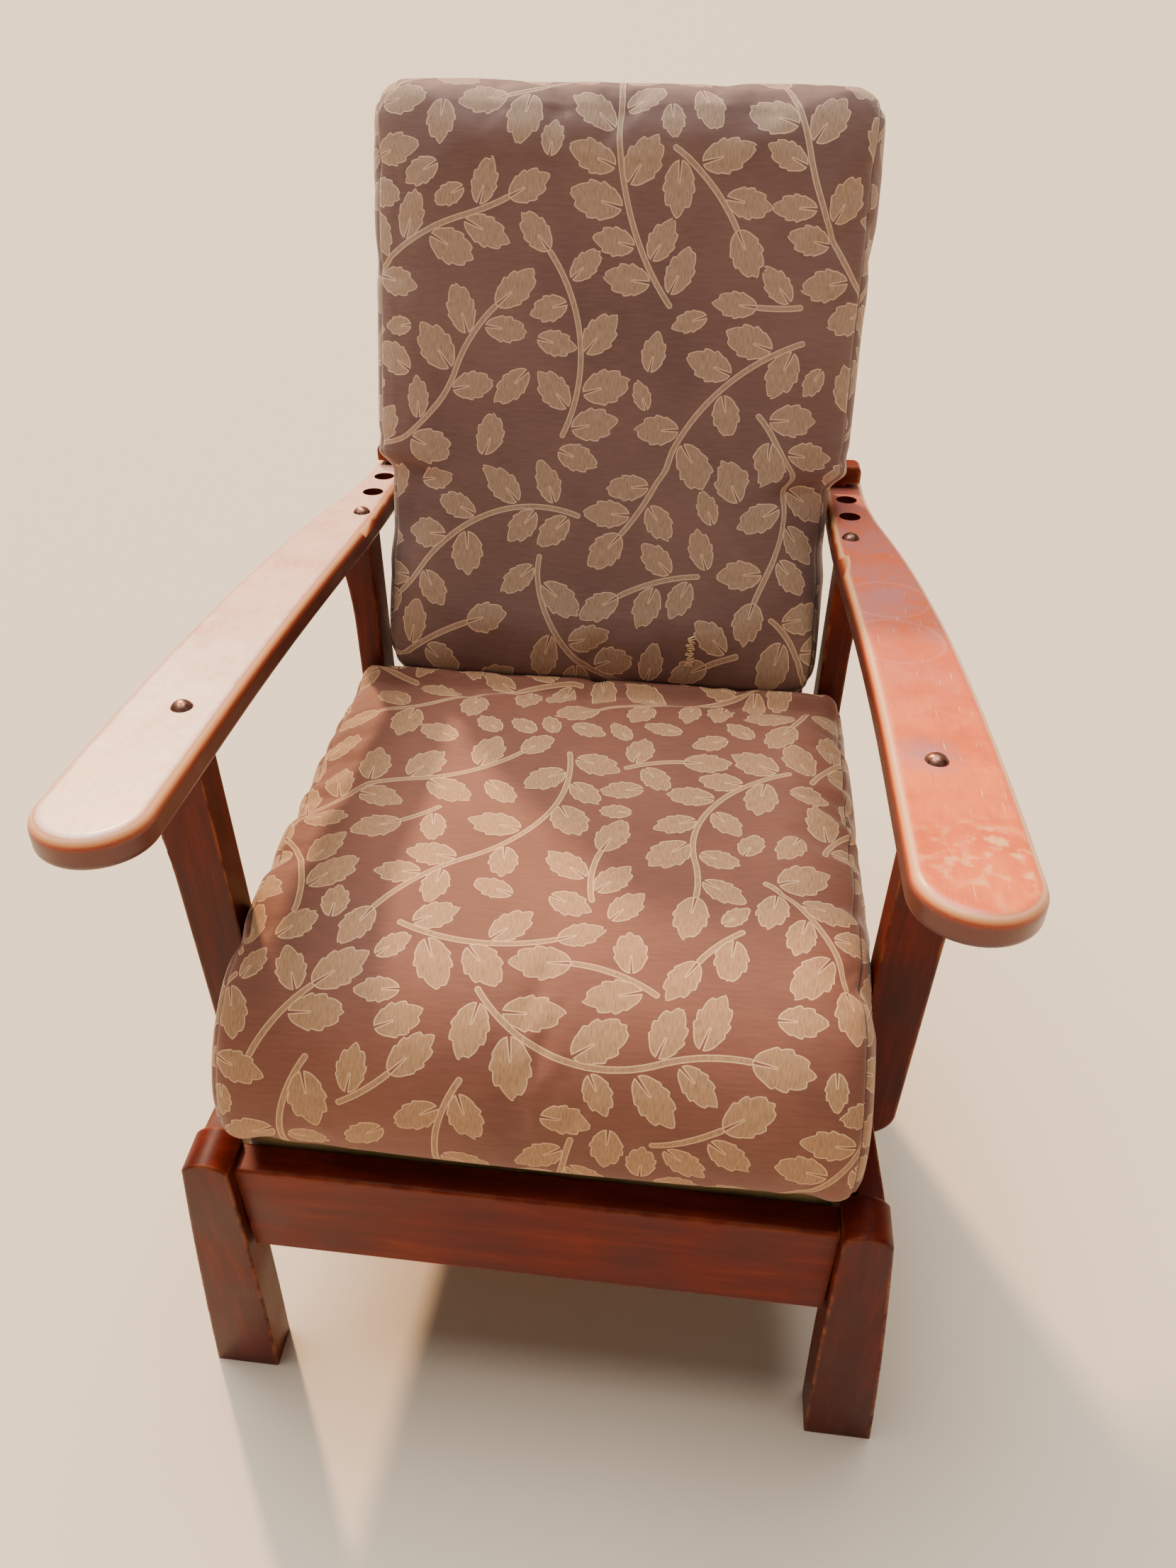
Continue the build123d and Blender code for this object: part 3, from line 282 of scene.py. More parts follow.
finish_with(worn_metal("aged_cast_bronze", "#5c3c32", "#a87c6c", 0.34, 420.0), "dome_bolts")
finish_with(worn_metal("dull_pressed_brass", "#5a4526", "#8f7443", 0.42, 300.0), "hinge_base_left",
            "hinge_base_right", "hinge_flap_left", "hinge_flap_right")
finish_with(worn_metal("plain_screw_steel", "#55524d", "#8b8883", 0.38, 500.0), "post_screws",
            "rail_hinge_screws", "back_hinge_screws", "hinge_pin_left", "hinge_pin_right")


# Back frame and rest bar.
# Two stiles, two rails and four flat slats, mortised together and stained like the rest; the bar is
# a square stick with its corners taken off and a turned peg under each end.
LEAN = math.radians(20)
leaning_wood = stained_wood("stained_hardwood_leaning", "Z", tilt=LEAN)
finish_with(leaning_wood, "back_stile_left", "back_stile_right", "back_slat_1", "back_slat_2",
            "back_slat_3", "back_slat_4")
finish_with(cross_wood, "back_top_rail", "back_bottom_rail")
BAR_STOPS = [(0.0, "#4a1406"), (0.5, "#7c2c10"), (1.0, "#a0481e")]
bar_wood = stained_wood("stained_hardwood_bar", "X", stops=BAR_STOPS, worn="#d8935c", edge_share=0.7)
finish_with(bar_wood, "rest_bar")
finish_with(shaded_upright_wood, "bar_peg_left", "bar_peg_right")


# Seat deck cover.
# Olive cotton over a thin cotton pad, pulled down over the deck's edges and tacked under its frame; it
# has sunk a little between the slats and creases where it turns down.
FRONT_Y = -0.375193
DECK_TOP = 0.330
DECK_FRONT, DECK_REAR, DECK_HALF_WIDTH = 0.038, 0.516, 0.226
FIRST_SLAT, SLAT_PITCH = 0.105, 0.073
PAD_MESH = 0.018
PAD_SINK, SLAT_SINK, LUMPS, CREASES = 0.0005, 0.0018, 0.0008, 0.0006

deck_form = bmesh.new()
deck_form.from_mesh(nodes["deck_cover"].data)
bmesh.ops.remove_doubles(deck_form, verts=deck_form.verts, dist=1e-6)
for _ in range(6):
    bmesh.ops.triangulate(deck_form, faces=deck_form.faces[:])
    too_long = [edge for edge in deck_form.edges if edge.calc_length() > PAD_MESH]
    bmesh.ops.subdivide_edges(deck_form, edges=too_long, cuts=1)
bmesh.ops.triangulate(deck_form, faces=deck_form.faces[:])
for vertex in deck_form.verts:
    depth = vertex.co.y - FRONT_Y
    inward = min(depth - DECK_FRONT, DECK_REAR - depth, DECK_HALF_WIDTH - abs(vertex.co.x))
    sunk = min(1, max(0, inward / 0.02)) * (vertex.co.z > DECK_TOP - 0.012)
    between = 0.5 - 0.5 * math.cos(2 * math.pi * (depth - FIRST_SLAT) / SLAT_PITCH)
    vertex.co.z -= sunk * (PAD_SINK + SLAT_SINK * between + LUMPS * noise.noise(vertex.co * 40))
    crease = noise.noise(Vector((vertex.co.x * 70, vertex.co.y * 70, vertex.co.z * 12)))
    pulled = CREASES * (1 - sunk) * (crease + 0.5)
    vertex.co.x -= math.copysign(1, vertex.co.x) * pulled
    vertex.co.y += pulled * (1 if depth < 0.2 else -1)
deck_mesh = bpy.data.meshes.new("deck_pad_cover")
deck_form.to_mesh(deck_mesh)
deck_form.free()
deck_mesh.shade_smooth()
deck_pad_cover = bpy.data.objects.new("deck_pad_cover", deck_mesh)
bpy.context.scene.collection.objects.link(deck_pad_cover)

olive_cotton, tree = new_material("olive_cotton")
spot = add(tree, "TexCoord", out="Object")
fade, thread = (
    add(tree, "TexNoise", {"Vector": spot, "Scale": scale, "Detail": detail})
    for scale, detail in ((22.0, 5.0), (900.0, 1.0)))
tone = add(tree, "Math", {0: thread, 1: 0.5, 2: fade}, operation="MULTIPLY_ADD")
colour = add(tree, "ValToRGB", {"Fac": tone}, [(0.45, "#6f6038"), (1.0, "#a8935c")])
bump = add(tree, "Bump", {"Strength": 0.3, "Distance": 0.0003, "Height": thread})
shader = add(tree, "BsdfPrincipled",
             {"Base Color": colour, "Roughness": 0.85, "Sheen Weight": 0.15, "Normal": bump})
add(tree, "OutputMaterial", {"Surface": shader})
deck_mesh.materials.append(olive_cotton)
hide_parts("deck_cover")
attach(deck_pad_cover, "chair")


# Cushion covers: woven pattern.
# A jacquard of one leafy trail that turns back on itself: stems and toothed oval leaves in dull gold on
# red-brown satin, each leaf edged by a lighter thread and cut by a slit from its stalk.
LEAF_LENGTH = (0.036, 0.047)
LEAF_ASPECT = (0.58, 0.72)
CLOTH_WIDTH = (-0.52, 0.52)
CLOTH_LENGTH = (-0.08, 1.30)
STEM_STEP = 0.008
STEM_HALF = 0.0026
STEM_ROOM = 0.0035
STALK = 0.0035
LEAF_PITCH = (0.0135, 0.0185)
LEAF_LEAN = (0.7, 1.15)
# Trails longer than this bend the other way beyond a share of their length
LONG_TRAIL = 0.17
BENDS_BACK_AT = (0.45, 0.8)
BENDS_BACK_BY = -0.8
rng = np.random.default_rng(41)
leaves = []
stems = []
taken_centres = np.zeros((0, 2))
taken_radii = np.zeros(0)


def leaf_discs(x, y, turn, length, aspect):
    """Three circles that cover a leaf, for keeping leaves apart."""
    reach = length * 0.5
    across = reach * aspect
    along = np.array([math.cos(turn), math.sin(turn)])
    middle = np.array([x, y])
    ends = [(middle + way * along * reach * 0.5, across * 0.8) for way in (1, -1)]
    return [(middle, across * 0.98), *ends]


def fits(discs, gap):
    """Whether discs keep a gap from everything that is already on the cloth."""
    if not len(taken_centres):
        return True
    for centre, radius in discs:
        apart = np.hypot(*(taken_centres - centre).T)
        if np.any(apart < taken_radii + radius + gap):
            return False
    return True


def put_leaf(x, y, turn, length, aspect, gap):
    """Lays down one leaf if there is room for it."""
    global taken_centres, taken_radii
    discs = leaf_discs(x, y, turn, length, aspect)
    if not fits(discs, gap):
        return False
    taken_centres = np.vstack([taken_centres, [d[0] for d in discs]])
    taken_radii = np.append(taken_radii, [d[1] for d in discs])
    leaves.append((x, y, turn, length, aspect, rng.random(), rng.random()))
    return True


def put_trail(x, y, turn, bend, length):
    """A curved stem with leaves on both sides and one at its tip, if it keeps clear of the others."""
    global taken_centres, taken_radii
    points = [(x, y)]
    turns = [turn]
    count = int(length / STEM_STEP)
    swing = rng.uniform(*BENDS_BACK_AT) if length > LONG_TRAIL else 2
    for k in range(count):
        x, y = x + STEM_STEP * math.cos(turn), y + STEM_STEP * math.sin(turn)
        turn += bend * STEM_STEP * (1 if k < swing * count else BENDS_BACK_BY)
        points.append((x, y))
        turns.append(turn)
    own = [(np.array(p), STEM_STEP) for p in points[1::2]]
    if not fits(own, 0.005 if length > 0.09 else 0.003):
        return False
    before = len(leaves), taken_centres, taken_radii
    side = rng.choice([-1, 1])
    along = rng.uniform(0.008, 0.014)
    while along < length - 0.012:
        k = min(int(along / STEM_STEP), len(points) - 1)
        px, py = points[k]
        size = rng.uniform(*LEAF_LENGTH)
        shape = rng.uniform(*LEAF_ASPECT)
        lean = side * rng.uniform(*LEAF_LEAN)
        # Where a leaf doesn't fit, a smaller one that leans out further is tried
        for open_by, shrunk, gap in ((1.0, 1.0, 0.0022), (1.3, 0.84, 0.0018)):
            angle = turns[k] + lean * open_by
            off = size * shrunk * 0.5 + STALK
            if put_leaf(px + off * math.cos(angle), py + off * math.sin(angle), angle, size * shrunk,
                        shape, gap):
                break
        side = -side
        along += rng.uniform(*LEAF_PITCH)
    size = rng.uniform(*LEAF_LENGTH)
    px, py = points[-1]
    tipped = put_leaf(px + size * 0.42 * math.cos(turns[-1]), py + size * 0.42 * math.sin(turns[-1]),
                      turns[-1], size, rng.uniform(*LEAF_ASPECT), 0.0)
    # A trail that found no room for its last leaf or for most of the others is dropped again
    if not tipped or len(leaves) - before[0] < max(2, length / 0.028):
        del leaves[before[0]:]
        taken_centres, taken_radii = before[1:]
        return False
    stems.append(points)
    taken_centres = np.vstack([taken_centres, [d[0] for d in own]])
    taken_radii = np.append(taken_radii, [STEM_ROOM] * len(own))
    return True


# Long trails go down first, shorter ones between them, and lone leaves fill what is left
for shortest, longest, tries in ((0.20, 0.30, 1500), (0.12, 0.20, 3500), (0.06, 0.11, 6000),
                                 (0.03, 0.05, 6000)):
    for _ in range(tries):
        put_trail(rng.uniform(*CLOTH_WIDTH), rng.uniform(*CLOTH_LENGTH), rng.uniform(0, 2 * math.pi),
                  rng.choice([-1, 1]) * rng.uniform(4.0, 10.0), rng.uniform(shortest, longest))
for shrink in (0.95, 0.85, 0.75):
    for _ in range(3000):
        put_leaf(rng.uniform(*CLOTH_WIDTH), rng.uniform(*CLOTH_LENGTH), rng.uniform(0, 2 * math.pi),
                 rng.uniform(*LEAF_LENGTH) * shrink, rng.uniform(*LEAF_ASPECT), 0.0023)


def values_of(items, label, width=3, kind=float):
    """One property of all items as an array, with a row for each item."""
    out = np.zeros(len(items) * width, dtype=kind)
    items.foreach_get(label, out)
    return out.reshape(-1, width) if width > 1 else out


def polyline_place(points, spots):
    """Distance along a closed outline of the outline point nearest to each spot, and how far off it is."""
    begin = np.array(points)
    along = np.roll(begin, -1, axis=0) - begin
    lengths = np.hypot(*along.T)
    begin, along, lengths = begin[lengths > 1e-7], along[lengths > 1e-7], lengths[lengths > 1e-7]
    starts = np.concatenate([[0], np.cumsum(lengths)[:-1]])
    places = np.zeros(len(spots))
    offs = np.zeros(len(spots))
    batch = 8000
    for k in range(0, len(spots), batch):
        part = spots[k:k + batch, None, :] - begin[None]
        share = np.clip((part * along).sum(axis=2) / lengths ** 2, 0, 1)
        gap = np.hypot(*np.moveaxis(part - share[..., None] * along, 2, 0))
        best = gap.argmin(axis=1)
        rows = np.arange(len(best))
        places[k:k + batch] = starts[best] + share[rows, best] * lengths[best]
        offs[k:k + batch] = gap[rows, best]
    return places, offs


def middle_outline(node, to_own):
    """The cushion's outline where it is cut lengthways at x = 0, in its own axes, front foot first."""
    cut = bmesh.new()
    cut.from_mesh(node.data)
    cut.transform(to_own)
    bmesh.ops.remove_doubles(cut, verts=cut.verts, dist=1e-6)
    geometry = cut.verts[:] + cut.edges[:] + cut.faces[:]
    bmesh.ops.bisect_plane(cut, geom=geometry, plane_co=(0, 0, 0), plane_no=(1, 0, 0), clear_inner=True)
    rim = [edge for edge in cut.edges
           if all(abs(v.co.x) < 1e-6 for v in edge.verts) and len(edge.link_faces) == 1]
    cut.verts.index_update()
    ahead = {}
    for edge in rim:
        v, w = edge.verts
        ahead.setdefault(v.index, []).append(w)
        ahead.setdefault(w.index, []).append(v)
    start = min((v for edge in rim for v in edge.verts), key=lambda v: v.co.y + v.co.z)
    outline, previous, here = [], None, start
    while True:
        outline.append((here.co.y, here.co.z))
        onward = [w for w in ahead[here.index] if w is not previous]
        if previous is None:
            onward.sort(key=lambda w: w.co.y - w.co.z)
        previous, here = here, onward[0]
        if here is start:
            break
    cut.free()
    return outline


SKIN_MESH = 0.006
SHRUNK_BY = 0.006
SWELLS_AT_MOST = 0.020
BLOWN_FOR = 20
CLOTH = {"quality": 5, "mass": 0.3, "tension_stiffness": 15, "compression_stiffness": 15,
         "shear_stiffness": 5, "bending_stiffness": 0.8, "use_pressure": True,
         "uniform_pressure_force": 4.0}
BROAD_ROUNDS = 90
PUCKER_SHARE = 0.7


def swollen(node, to_own, name):
    """Rest and swollen shapes of one cushion: the node's form remeshed, then blown up a little as cloth."""
    skin = node.data.copy()
    skin.transform(to_own)
    body = bpy.data.objects.new(name, skin)
    bpy.context.scene.collection.objects.link(body)
    form = bmesh.new()
    form.from_mesh(skin)
    bmesh.ops.remove_doubles(form, verts=form.verts, dist=1e-6)
    form.normal_update()
    form.to_mesh(skin)
    form.free()
    remesh = body.modifiers.new("remesh", "REMESH")
    remesh.mode = "VOXEL"
    remesh.voxel_size = SKIN_MESH
    depsgraph = bpy.context.evaluated_depsgraph_get()
    even = bpy.data.meshes.new_from_object(body.evaluated_get(depsgraph))
    body.modifiers.clear()
    body.data = even
    rest = values_of(even.vertices, "co")
    # The skin is drawn in first, so that pressure fills it out again and leaves puckers
    inner = rest - values_of(even.vertices, "normal") * SHRUNK_BY
    even.vertices.foreach_set("co", inner.ravel())
    even.update()
    cloth = body.modifiers.new("cloth", "CLOTH")
    for setting, value in CLOTH.items():
        setattr(cloth.settings, setting, value)
    cloth.settings.effector_weights.gravity = 0
    cloth.collision_settings.use_collision = False
    cloth.point_cache.frame_start = 1
    cloth.point_cache.frame_end = BLOWN_FOR
    scene = bpy.context.scene
    for frame_number in range(1, BLOWN_FOR + 1):
        scene.frame_set(frame_number)
    blown = bpy.data.meshes.new_from_object(body.evaluated_get(bpy.context.evaluated_depsgraph_get()))
    move = values_of(blown.vertices, "co") - inner
    far = np.linalg.norm(move, axis=1, keepdims=True)
    move *= np.minimum(1, SWELLS_AT_MOST / np.maximum(far, 1e-9))
    body.modifiers.clear()
    scene.frame_set(1)
    # Puckers and hollows stay; the broad drift of the whole skin is taken back out
    drift = inner + move - rest
    count = len(rest)
    edges = values_of(even.edges, "vertices", 2, np.int64)
    shares = np.bincount(edges.ravel(), minlength=count)[:, None]
    broad = drift.copy()
    for _ in range(BROAD_ROUNDS):
        total = np.zeros_like(broad)
        for column in range(3):
            total[:, column] = np.bincount(edges[:, 0], broad[edges[:, 1], column], count)
            total[:, column] += np.bincount(edges[:, 1], broad[edges[:, 0], column], count)
        broad = 0.5 * broad + 0.5 * total / shares
    return body, rest, rest + PUCKER_SHARE * (drift - broad)


SEAM_DEPTH, SEAM_WIDTH = 0.0016, 0.0030


def dressed_cushion(node, name, to_own, fit, half_width, edge_share):
    """The finished cushion: swollen, subdivided, fitted by fit(), seamed, and mapped for the pattern."""
    outline = middle_outline(node, to_own)
    body, rest, blown = swollen(node, to_own, name)

    def once_divided(spots):
        body.data.vertices.foreach_set("co", spots.ravel())
        body.data.update()
        finer = body.modifiers.new("finer", "SUBSURF")
        finer.levels = 1
        finer.render_levels = 1
        made = bpy.data.meshes.new_from_object(body.evaluated_get(bpy.context.evaluated_depsgraph_get()))
        body.modifiers.clear()
        return made, values_of(made.vertices, "co")

    _, rest_fine = once_divided(rest)
    mesh, fine = once_divided(blown)
    body.data = mesh
    # Where the cloth is cut: the long panel wraps round the cushion, a side panel closes each end
    wrap, depth = polyline_place(outline, rest_fine[:, 1:])
    seam = half_width(rest_fine) - np.abs(rest_fine[:, 0]) - edge_share * depth
    fine = fit(rest_fine, fine)
    mesh.vertices.foreach_set("co", fine.ravel())
    mesh.update()
    groove = SEAM_DEPTH * np.exp(-(seam / SEAM_WIDTH) ** 2)
    fine = fine - values_of(mesh.vertices, "normal") * groove[:, None]
    mesh.vertices.foreach_set("co", fine.ravel())
    mesh.update()
    body.matrix_world = Matrix.Identity(4)
    mesh.transform(to_own.inverted())
    return body, mesh, rest_fine, wrap, seam


def near_rows(places, spots, count):
    """For each spot, which of the places are the nearest ones."""
    tree = KDTree(len(places))
    for k, place in enumerate(places):
        tree.insert((*place, 0), k)
    tree.balance()
    return np.array([[hit[1] for hit in tree.find_n((*spot, 0), count)] for spot in spots])


def own_axes(away, turn):
    """Offsets from a leaf's middle in its own axes: along it and across it."""
    cosine, sine = np.cos(turn), np.sin(turn)
    return away[..., 0] * cosine + away[..., 1] * sine, away[..., 1] * cosine - away[..., 0] * sine


# Where the side panels and the back cushion's long panel are cut from the cloth
SIDE_PANEL = (0.34, 0.2)
BACK_PANEL = 1.2
# More than any face measures along the wrap, and the most that a leaf's or stem's distance is kept to
WRAP_JUMP = 0.4
FAR_OFF = 0.06


def pattern_attributes(mesh, rest, wrap, seam, turned):
    """Writes each face corner's place in its nearest leaf and stem, its UV for the weave, and the seam."""
    corner_vertex = values_of(mesh.loops, "vertex_index", 1, np.int64)
    face_start = values_of(mesh.polygons, "loop_start", 1, np.int64)
    face_size = values_of(mesh.polygons, "loop_total", 1, np.int64)
    face_of = np.repeat(np.arange(len(face_start)), face_size)

    def face_mean(values):
        return np.add.reduceat(values, face_start, axis=0) / face_size.reshape(-1, *[1] * (values.ndim - 1))

    x, y, z = rest[corner_vertex].T
    t = wrap[corner_vertex]
    # The wrap starts and ends under the cushion; a face across that line keeps its corners together
    t = np.where(t - face_mean(t)[face_of] > WRAP_JUMP, t - wrap.max(), t)
    on_side = face_mean(seam[corner_vertex])[face_of] < 0
    s = np.where(on_side, np.sign(x) * (SIDE_PANEL[0] + z), x)
    t = np.where(on_side, y + SIDE_PANEL[1], t)
    spots = np.stack([-s, BACK_PANEL - t] if turned else [s, t], axis=1)
    centres = face_mean(spots)
    rows = np.arange(len(centres))
    # Leaf columns: x, y, turn, length, aspect and two random shares
    leaf_table = np.array(leaves)
    few = leaf_table[near_rows(leaf_table[:, :2], centres, 6)]
    a, b = own_axes(centres[:, None, :] - few[..., :2], few[..., 2])
    far = (a / few[..., 3]) ** 2 + (b / (few[..., 3] * few[..., 4])) ** 2
    mine = few[rows, far.argmin(axis=1)][face_of]
    a, b = own_axes(spots - mine[:, :2], mine[:, 2])
    leaf = np.stack([np.clip(a, -FAR_OFF, FAR_OFF), np.clip(b, -FAR_OFF, FAR_OFF), mine[:, 3]], axis=1)
    look = mine[:, [5, 6, 4]]
    # Stem pieces: begin, end, how far along the stem they start, and the stem's length
    pieces = np.array([(*points[k], *points[k + 1], STEM_STEP * k, STEM_STEP * (len(points) - 1))
                       for points in stems for k in range(len(points) - 1)])
    few = pieces[near_rows((pieces[:, :2] + pieces[:, 2:4]) / 2, centres, 4)]
    along = few[..., 2:4] - few[..., :2]
    away = centres[:, None, :] - few[..., :2]
    share = np.clip((away * along).sum(axis=2) / (along ** 2).sum(axis=2), 0, 1)
    gap = np.linalg.norm(away - share[..., None] * along, axis=2)
    mine = few[rows, gap.argmin(axis=1)][face_of]
    along = mine[:, 2:4] - mine[:, :2]
    along /= np.hypot(*along.T)[:, None]
    away = spots - mine[:, :2]
    run = (away * along).sum(axis=1) + mine[:, 4]
    off = away[:, 0] * along[:, 1] - away[:, 1] * along[:, 0]
    inside = np.minimum(run, mine[:, 5] - run)
    stem = np.stack([np.clip(off, -FAR_OFF, FAR_OFF), np.clip(inside, -FAR_OFF, FAR_OFF), mine[:, 4]], axis=1)
    for label, values in (("leaf", leaf), ("leaf_look", look), ("stem", stem)):
        made = mesh.attributes.new(label, "FLOAT_VECTOR", "CORNER")
        made.data.foreach_set("vector", values.astype(np.float32).ravel())
    made = mesh.attributes.new("seam", "FLOAT", "POINT")
    made.data.foreach_set("value", seam.astype(np.float32))
    panel = mesh.uv_layers.new(name="panel")
    panel.uv.foreach_set("vector", spots.astype(np.float32).ravel())
    mesh.shade_smooth()


# Cushions.
# Two loose box cushions in the leafy cloth over feather and foam: crowned, softened by use, sewn down
# both sides where a side panel meets the long one. The seat's front rolls over its rail; the back
# cushion is pinched between the arms.
def leafy_cloth(name, ground, ground_low, leaf_colour, leaf_low, thread):
    """Satin with stems and leaves in a second weft, each outlined by a lighter thread."""
    material, tree = new_material(name)
    place, look, stalk = (
        add(tree, "SeparateXYZ",
            {"Vector": add(tree, "Attribute", out="Vector", attribute_name=label)}).node.outputs
        for label in ("leaf", "leaf_look", "stem"))
    seam = add(tree, "Attribute", out="Fac", attribute_name="seam")
    panel = add(tree, "UVMap", uv_map="panel")
    # a runs from a leaf's stalk to its tip and b across, L is its length; in_leaf and in_stem are
    # distances in from their outlines. Each line is a name, a Math operation and its inputs
    known = {"a": place["X"], "b": place["Y"], "L": place["Z"], "one": look["X"], "two": look["Y"],
             "aspect": look["Z"], "off": stalk["X"], "end": stalk["Y"]}
    for label, operation, *inputs in (
        ("side", "ABSOLUTE", "b"),
        ("angle", "ARCTAN2", "side", "a"),
        ("aa", "MULTIPLY", "a", "a"),
        ("rr", "MULTIPLY_ADD", "b", "b", "aa"),
        ("r", "SQRT", "rr"),
        ("half", "MULTIPLY", "L", 0.5),
        ("wide", "MULTIPLY", "half", "aspect"),
        ("cos", "COSINE", "angle"),
        ("sin", "SINE", "angle"),
        ("cos_l", "DIVIDE", "cos", "half"),
        ("sin_w", "DIVIDE", "sin", "wide"),
        ("cc", "MULTIPLY", "cos_l", "cos_l"),
        ("ss", "MULTIPLY_ADD", "sin_w", "sin_w", "cc"),
        ("root", "SQRT", "ss"),
        ("oval", "DIVIDE", 1.0, "root"),
        # Rounded lobes along both sides, out of step with each other, that die out at the stalk
        ("above", "GREATER_THAN", "b", 0.0),
        ("shift", "SUBTRACT", "one", "two"),
        ("phase", "MULTIPLY_ADD", "above", "shift", "two"),
        ("turned", "MULTIPLY_ADD", "angle", 1.4, "phase"),
        ("tooth", "FRACT", "turned"),
        ("fall_1", "MULTIPLY", "tooth", "tooth"),
        ("fall_2", "SUBTRACT", 1.0, "fall_1"),
        ("rise_1", "DIVIDE", "tooth", 0.25),
        ("rise_2", "MINIMUM", "rise_1", 1.0),
        ("lobe", "MULTIPLY", "fall_2", "rise_2"),
        ("fade_1", "SUBTRACT", 2.5, "angle"),
        ("fade_2", "MULTIPLY", "fade_1", 1.1),
        ("fade_3", "MINIMUM", "fade_2", 1.0),
        ("fade", "MAXIMUM", "fade_3", 0.0),
        ("lobed", "MULTIPLY", "fade", "lobe"),
        ("swell", "MULTIPLY_ADD", "lobed", 0.17, 0.89),
        ("edge_1", "MULTIPLY", "oval", "swell"),
        # The pointed tip
        ("near_1", "MULTIPLY", "angle", 5.0),
        ("near_2", "MULTIPLY", "near_1", "near_1"),
        ("near_3", "MULTIPLY", "near_2", -1.0),
        ("near_4", "EXPONENT", "near_3"),
        ("near_5", "MULTIPLY", "near_4", "L"),
        ("edge", "MULTIPLY_ADD", "near_5", 0.07, "edge_1"),
        ("in_1", "SUBTRACT", "edge", "r"),
        ("in_2", "MULTIPLY", "in_1", 0.93),
        # The slit, a wedge that opens from the middle to the stalk
        ("slit_end", "MULTIPLY", "L", -0.06),
        ("slit_begin", "MULTIPLY", "L", -0.6),
        ("slit_1", "MAXIMUM", "a", "slit_begin"),
        ("slit_a", "MINIMUM", "slit_1", "slit_end"),
        ("open_1", "SUBTRACT", "slit_end", "slit_a"),
        ("open", "MULTIPLY", "open_1", 0.055),
        ("sa", "SUBTRACT", "a", "slit_a"),
        ("saa", "MULTIPLY", "sa", "sa"),
        ("srr", "MULTIPLY_ADD", "b", "b", "saa"),
        ("sr", "SQRT", "srr"),
        ("in_3", "SUBTRACT", "sr", "open"),
        ("in_leaf", "MINIMUM", "in_2", "in_3"),
        # The stem, a band with round ends
        ("over_1", "SUBTRACT", STEM_HALF, "end"),
        ("over_2", "MAXIMUM", "over_1", 0.0),
        ("over_3", "MULTIPLY", "over_2", "over_2"),
        ("over_4", "MULTIPLY_ADD", "off", "off", "over_3"),
        ("over_5", "SQRT", "over_4"),
        ("in_stem", "SUBTRACT", STEM_HALF, "over_5"),
    ):
        given = {socket: known.get(value, value) for socket, value in enumerate(inputs)}
        known[label] = add(tree, "Math", given, operation=operation)
    # Real threads lie 0.4 mm apart; they are drawn 1 mm apart, so that they show
    warp, weft = (
        add(tree, "TexWave",
            {"Vector": panel, "Scale": scale, "Distortion": 0.6, "Detail": 1.0, "Detail Scale": 3.0},
            out="Fac", bands_direction=way)
        for way, scale in (("X", 290.0), ("Y", 330.0)))
    # Streaks along the warp where the gold weft is thin, and slubs across the satin
    streak, slub = (
        add(tree, "TexNoise", {"Vector": add(tree, "Mapping", {"Vector": panel, "Scale": stretch}),
                               "Scale": 1.0, "Detail": 2.0})
        for stretch in ((900, 130, 1), (60, 420, 1)))
    cloud = add(tree, "TexNoise", {"Vector": panel, "Scale": 7.0, "Detail": 3.0})
    satin = add(tree, "Math", {0: slub, 1: 0.5, 2: cloud}, operation="MULTIPLY_ADD")
    ground_share = add(tree, "MapRange", {"Value": satin, "From Min": 0.55, "From Max": 0.95})
    leaf_share = add(tree, "MapRange", {"Value": streak, "From Min": 0.32, "From Max": 0.62})
    colour = add(tree, "Mix", {"Factor": ground_share, "A": ground_low, "B": ground}, data_type="RGBA")
    gold = add(tree, "Mix", {"Factor": leaf_share, "A": leaf_low, "B": leaf_colour}, data_type="RGBA")
    # Stems first and leaves over them, each a line of thread and then the gold inside it
    layers = []
    for inside, border in (("in_stem", 0.0008), ("in_leaf", 0.0009)):
        layers.append((known[inside], 0.0, 0.00025, thread))
        layers.append((known[inside], border, border + 0.0003, gold))
    for depth, begin, whole, tone in layers:
        share = add(tree, "MapRange", {"Value": depth, "From Min": begin, "From Max": whole})
        colour = add(tree, "Mix", {"Factor": share, "A": colour, "B": tone}, data_type="RGBA")
    # The stitch line where the panels meet sits in shadow
    crease = add(tree, "Math", {0: seam}, operation="ABSOLUTE")
    crease = add(tree, "MapRange",
                 {"Value": crease, "From Min": 0.0018, "From Max": 0.0006, "To Max": 0.75})
    colour = add(tree, "Mix", {"Factor": crease, "A": colour, "B": "#2a1512"}, data_type="RGBA")
    height = add(tree, "Math", {0: warp, 1: weft}, operation="MULTIPLY")
    bump = add(tree, "Bump", {"Strength": 0.25, "Distance": 0.0003, "Height": height})
    shader = add(tree, "BsdfPrincipled",
                 {"Base Color": colour, "Roughness": 0.72, "Sheen Weight": 0.25, "Sheen Roughness": 0.45,
                  "Normal": bump})
    add(tree, "OutputMaterial", {"Surface": shader})
    return material


# Two copies of one cloth: the seat's warmer and redder, the back cushion's cooler and greyer, a painted cool
# shade
warm_lit_seat_cloth = leafy_cloth("leafy_jacquard_warm_copy", "#87513c", "#71412f", "#b68b63", "#99724e", "#deb487")
cool_shaded_back_cloth = leafy_cloth("leafy_jacquard", "#7b5f59", "#684b48", "#ac937e", "#917966", "#d8ba9d")


def smooth(value, low, high):
    share = np.clip((value - low) / (high - low), 0, 1)
    return share * share * (3 - 2 * share)


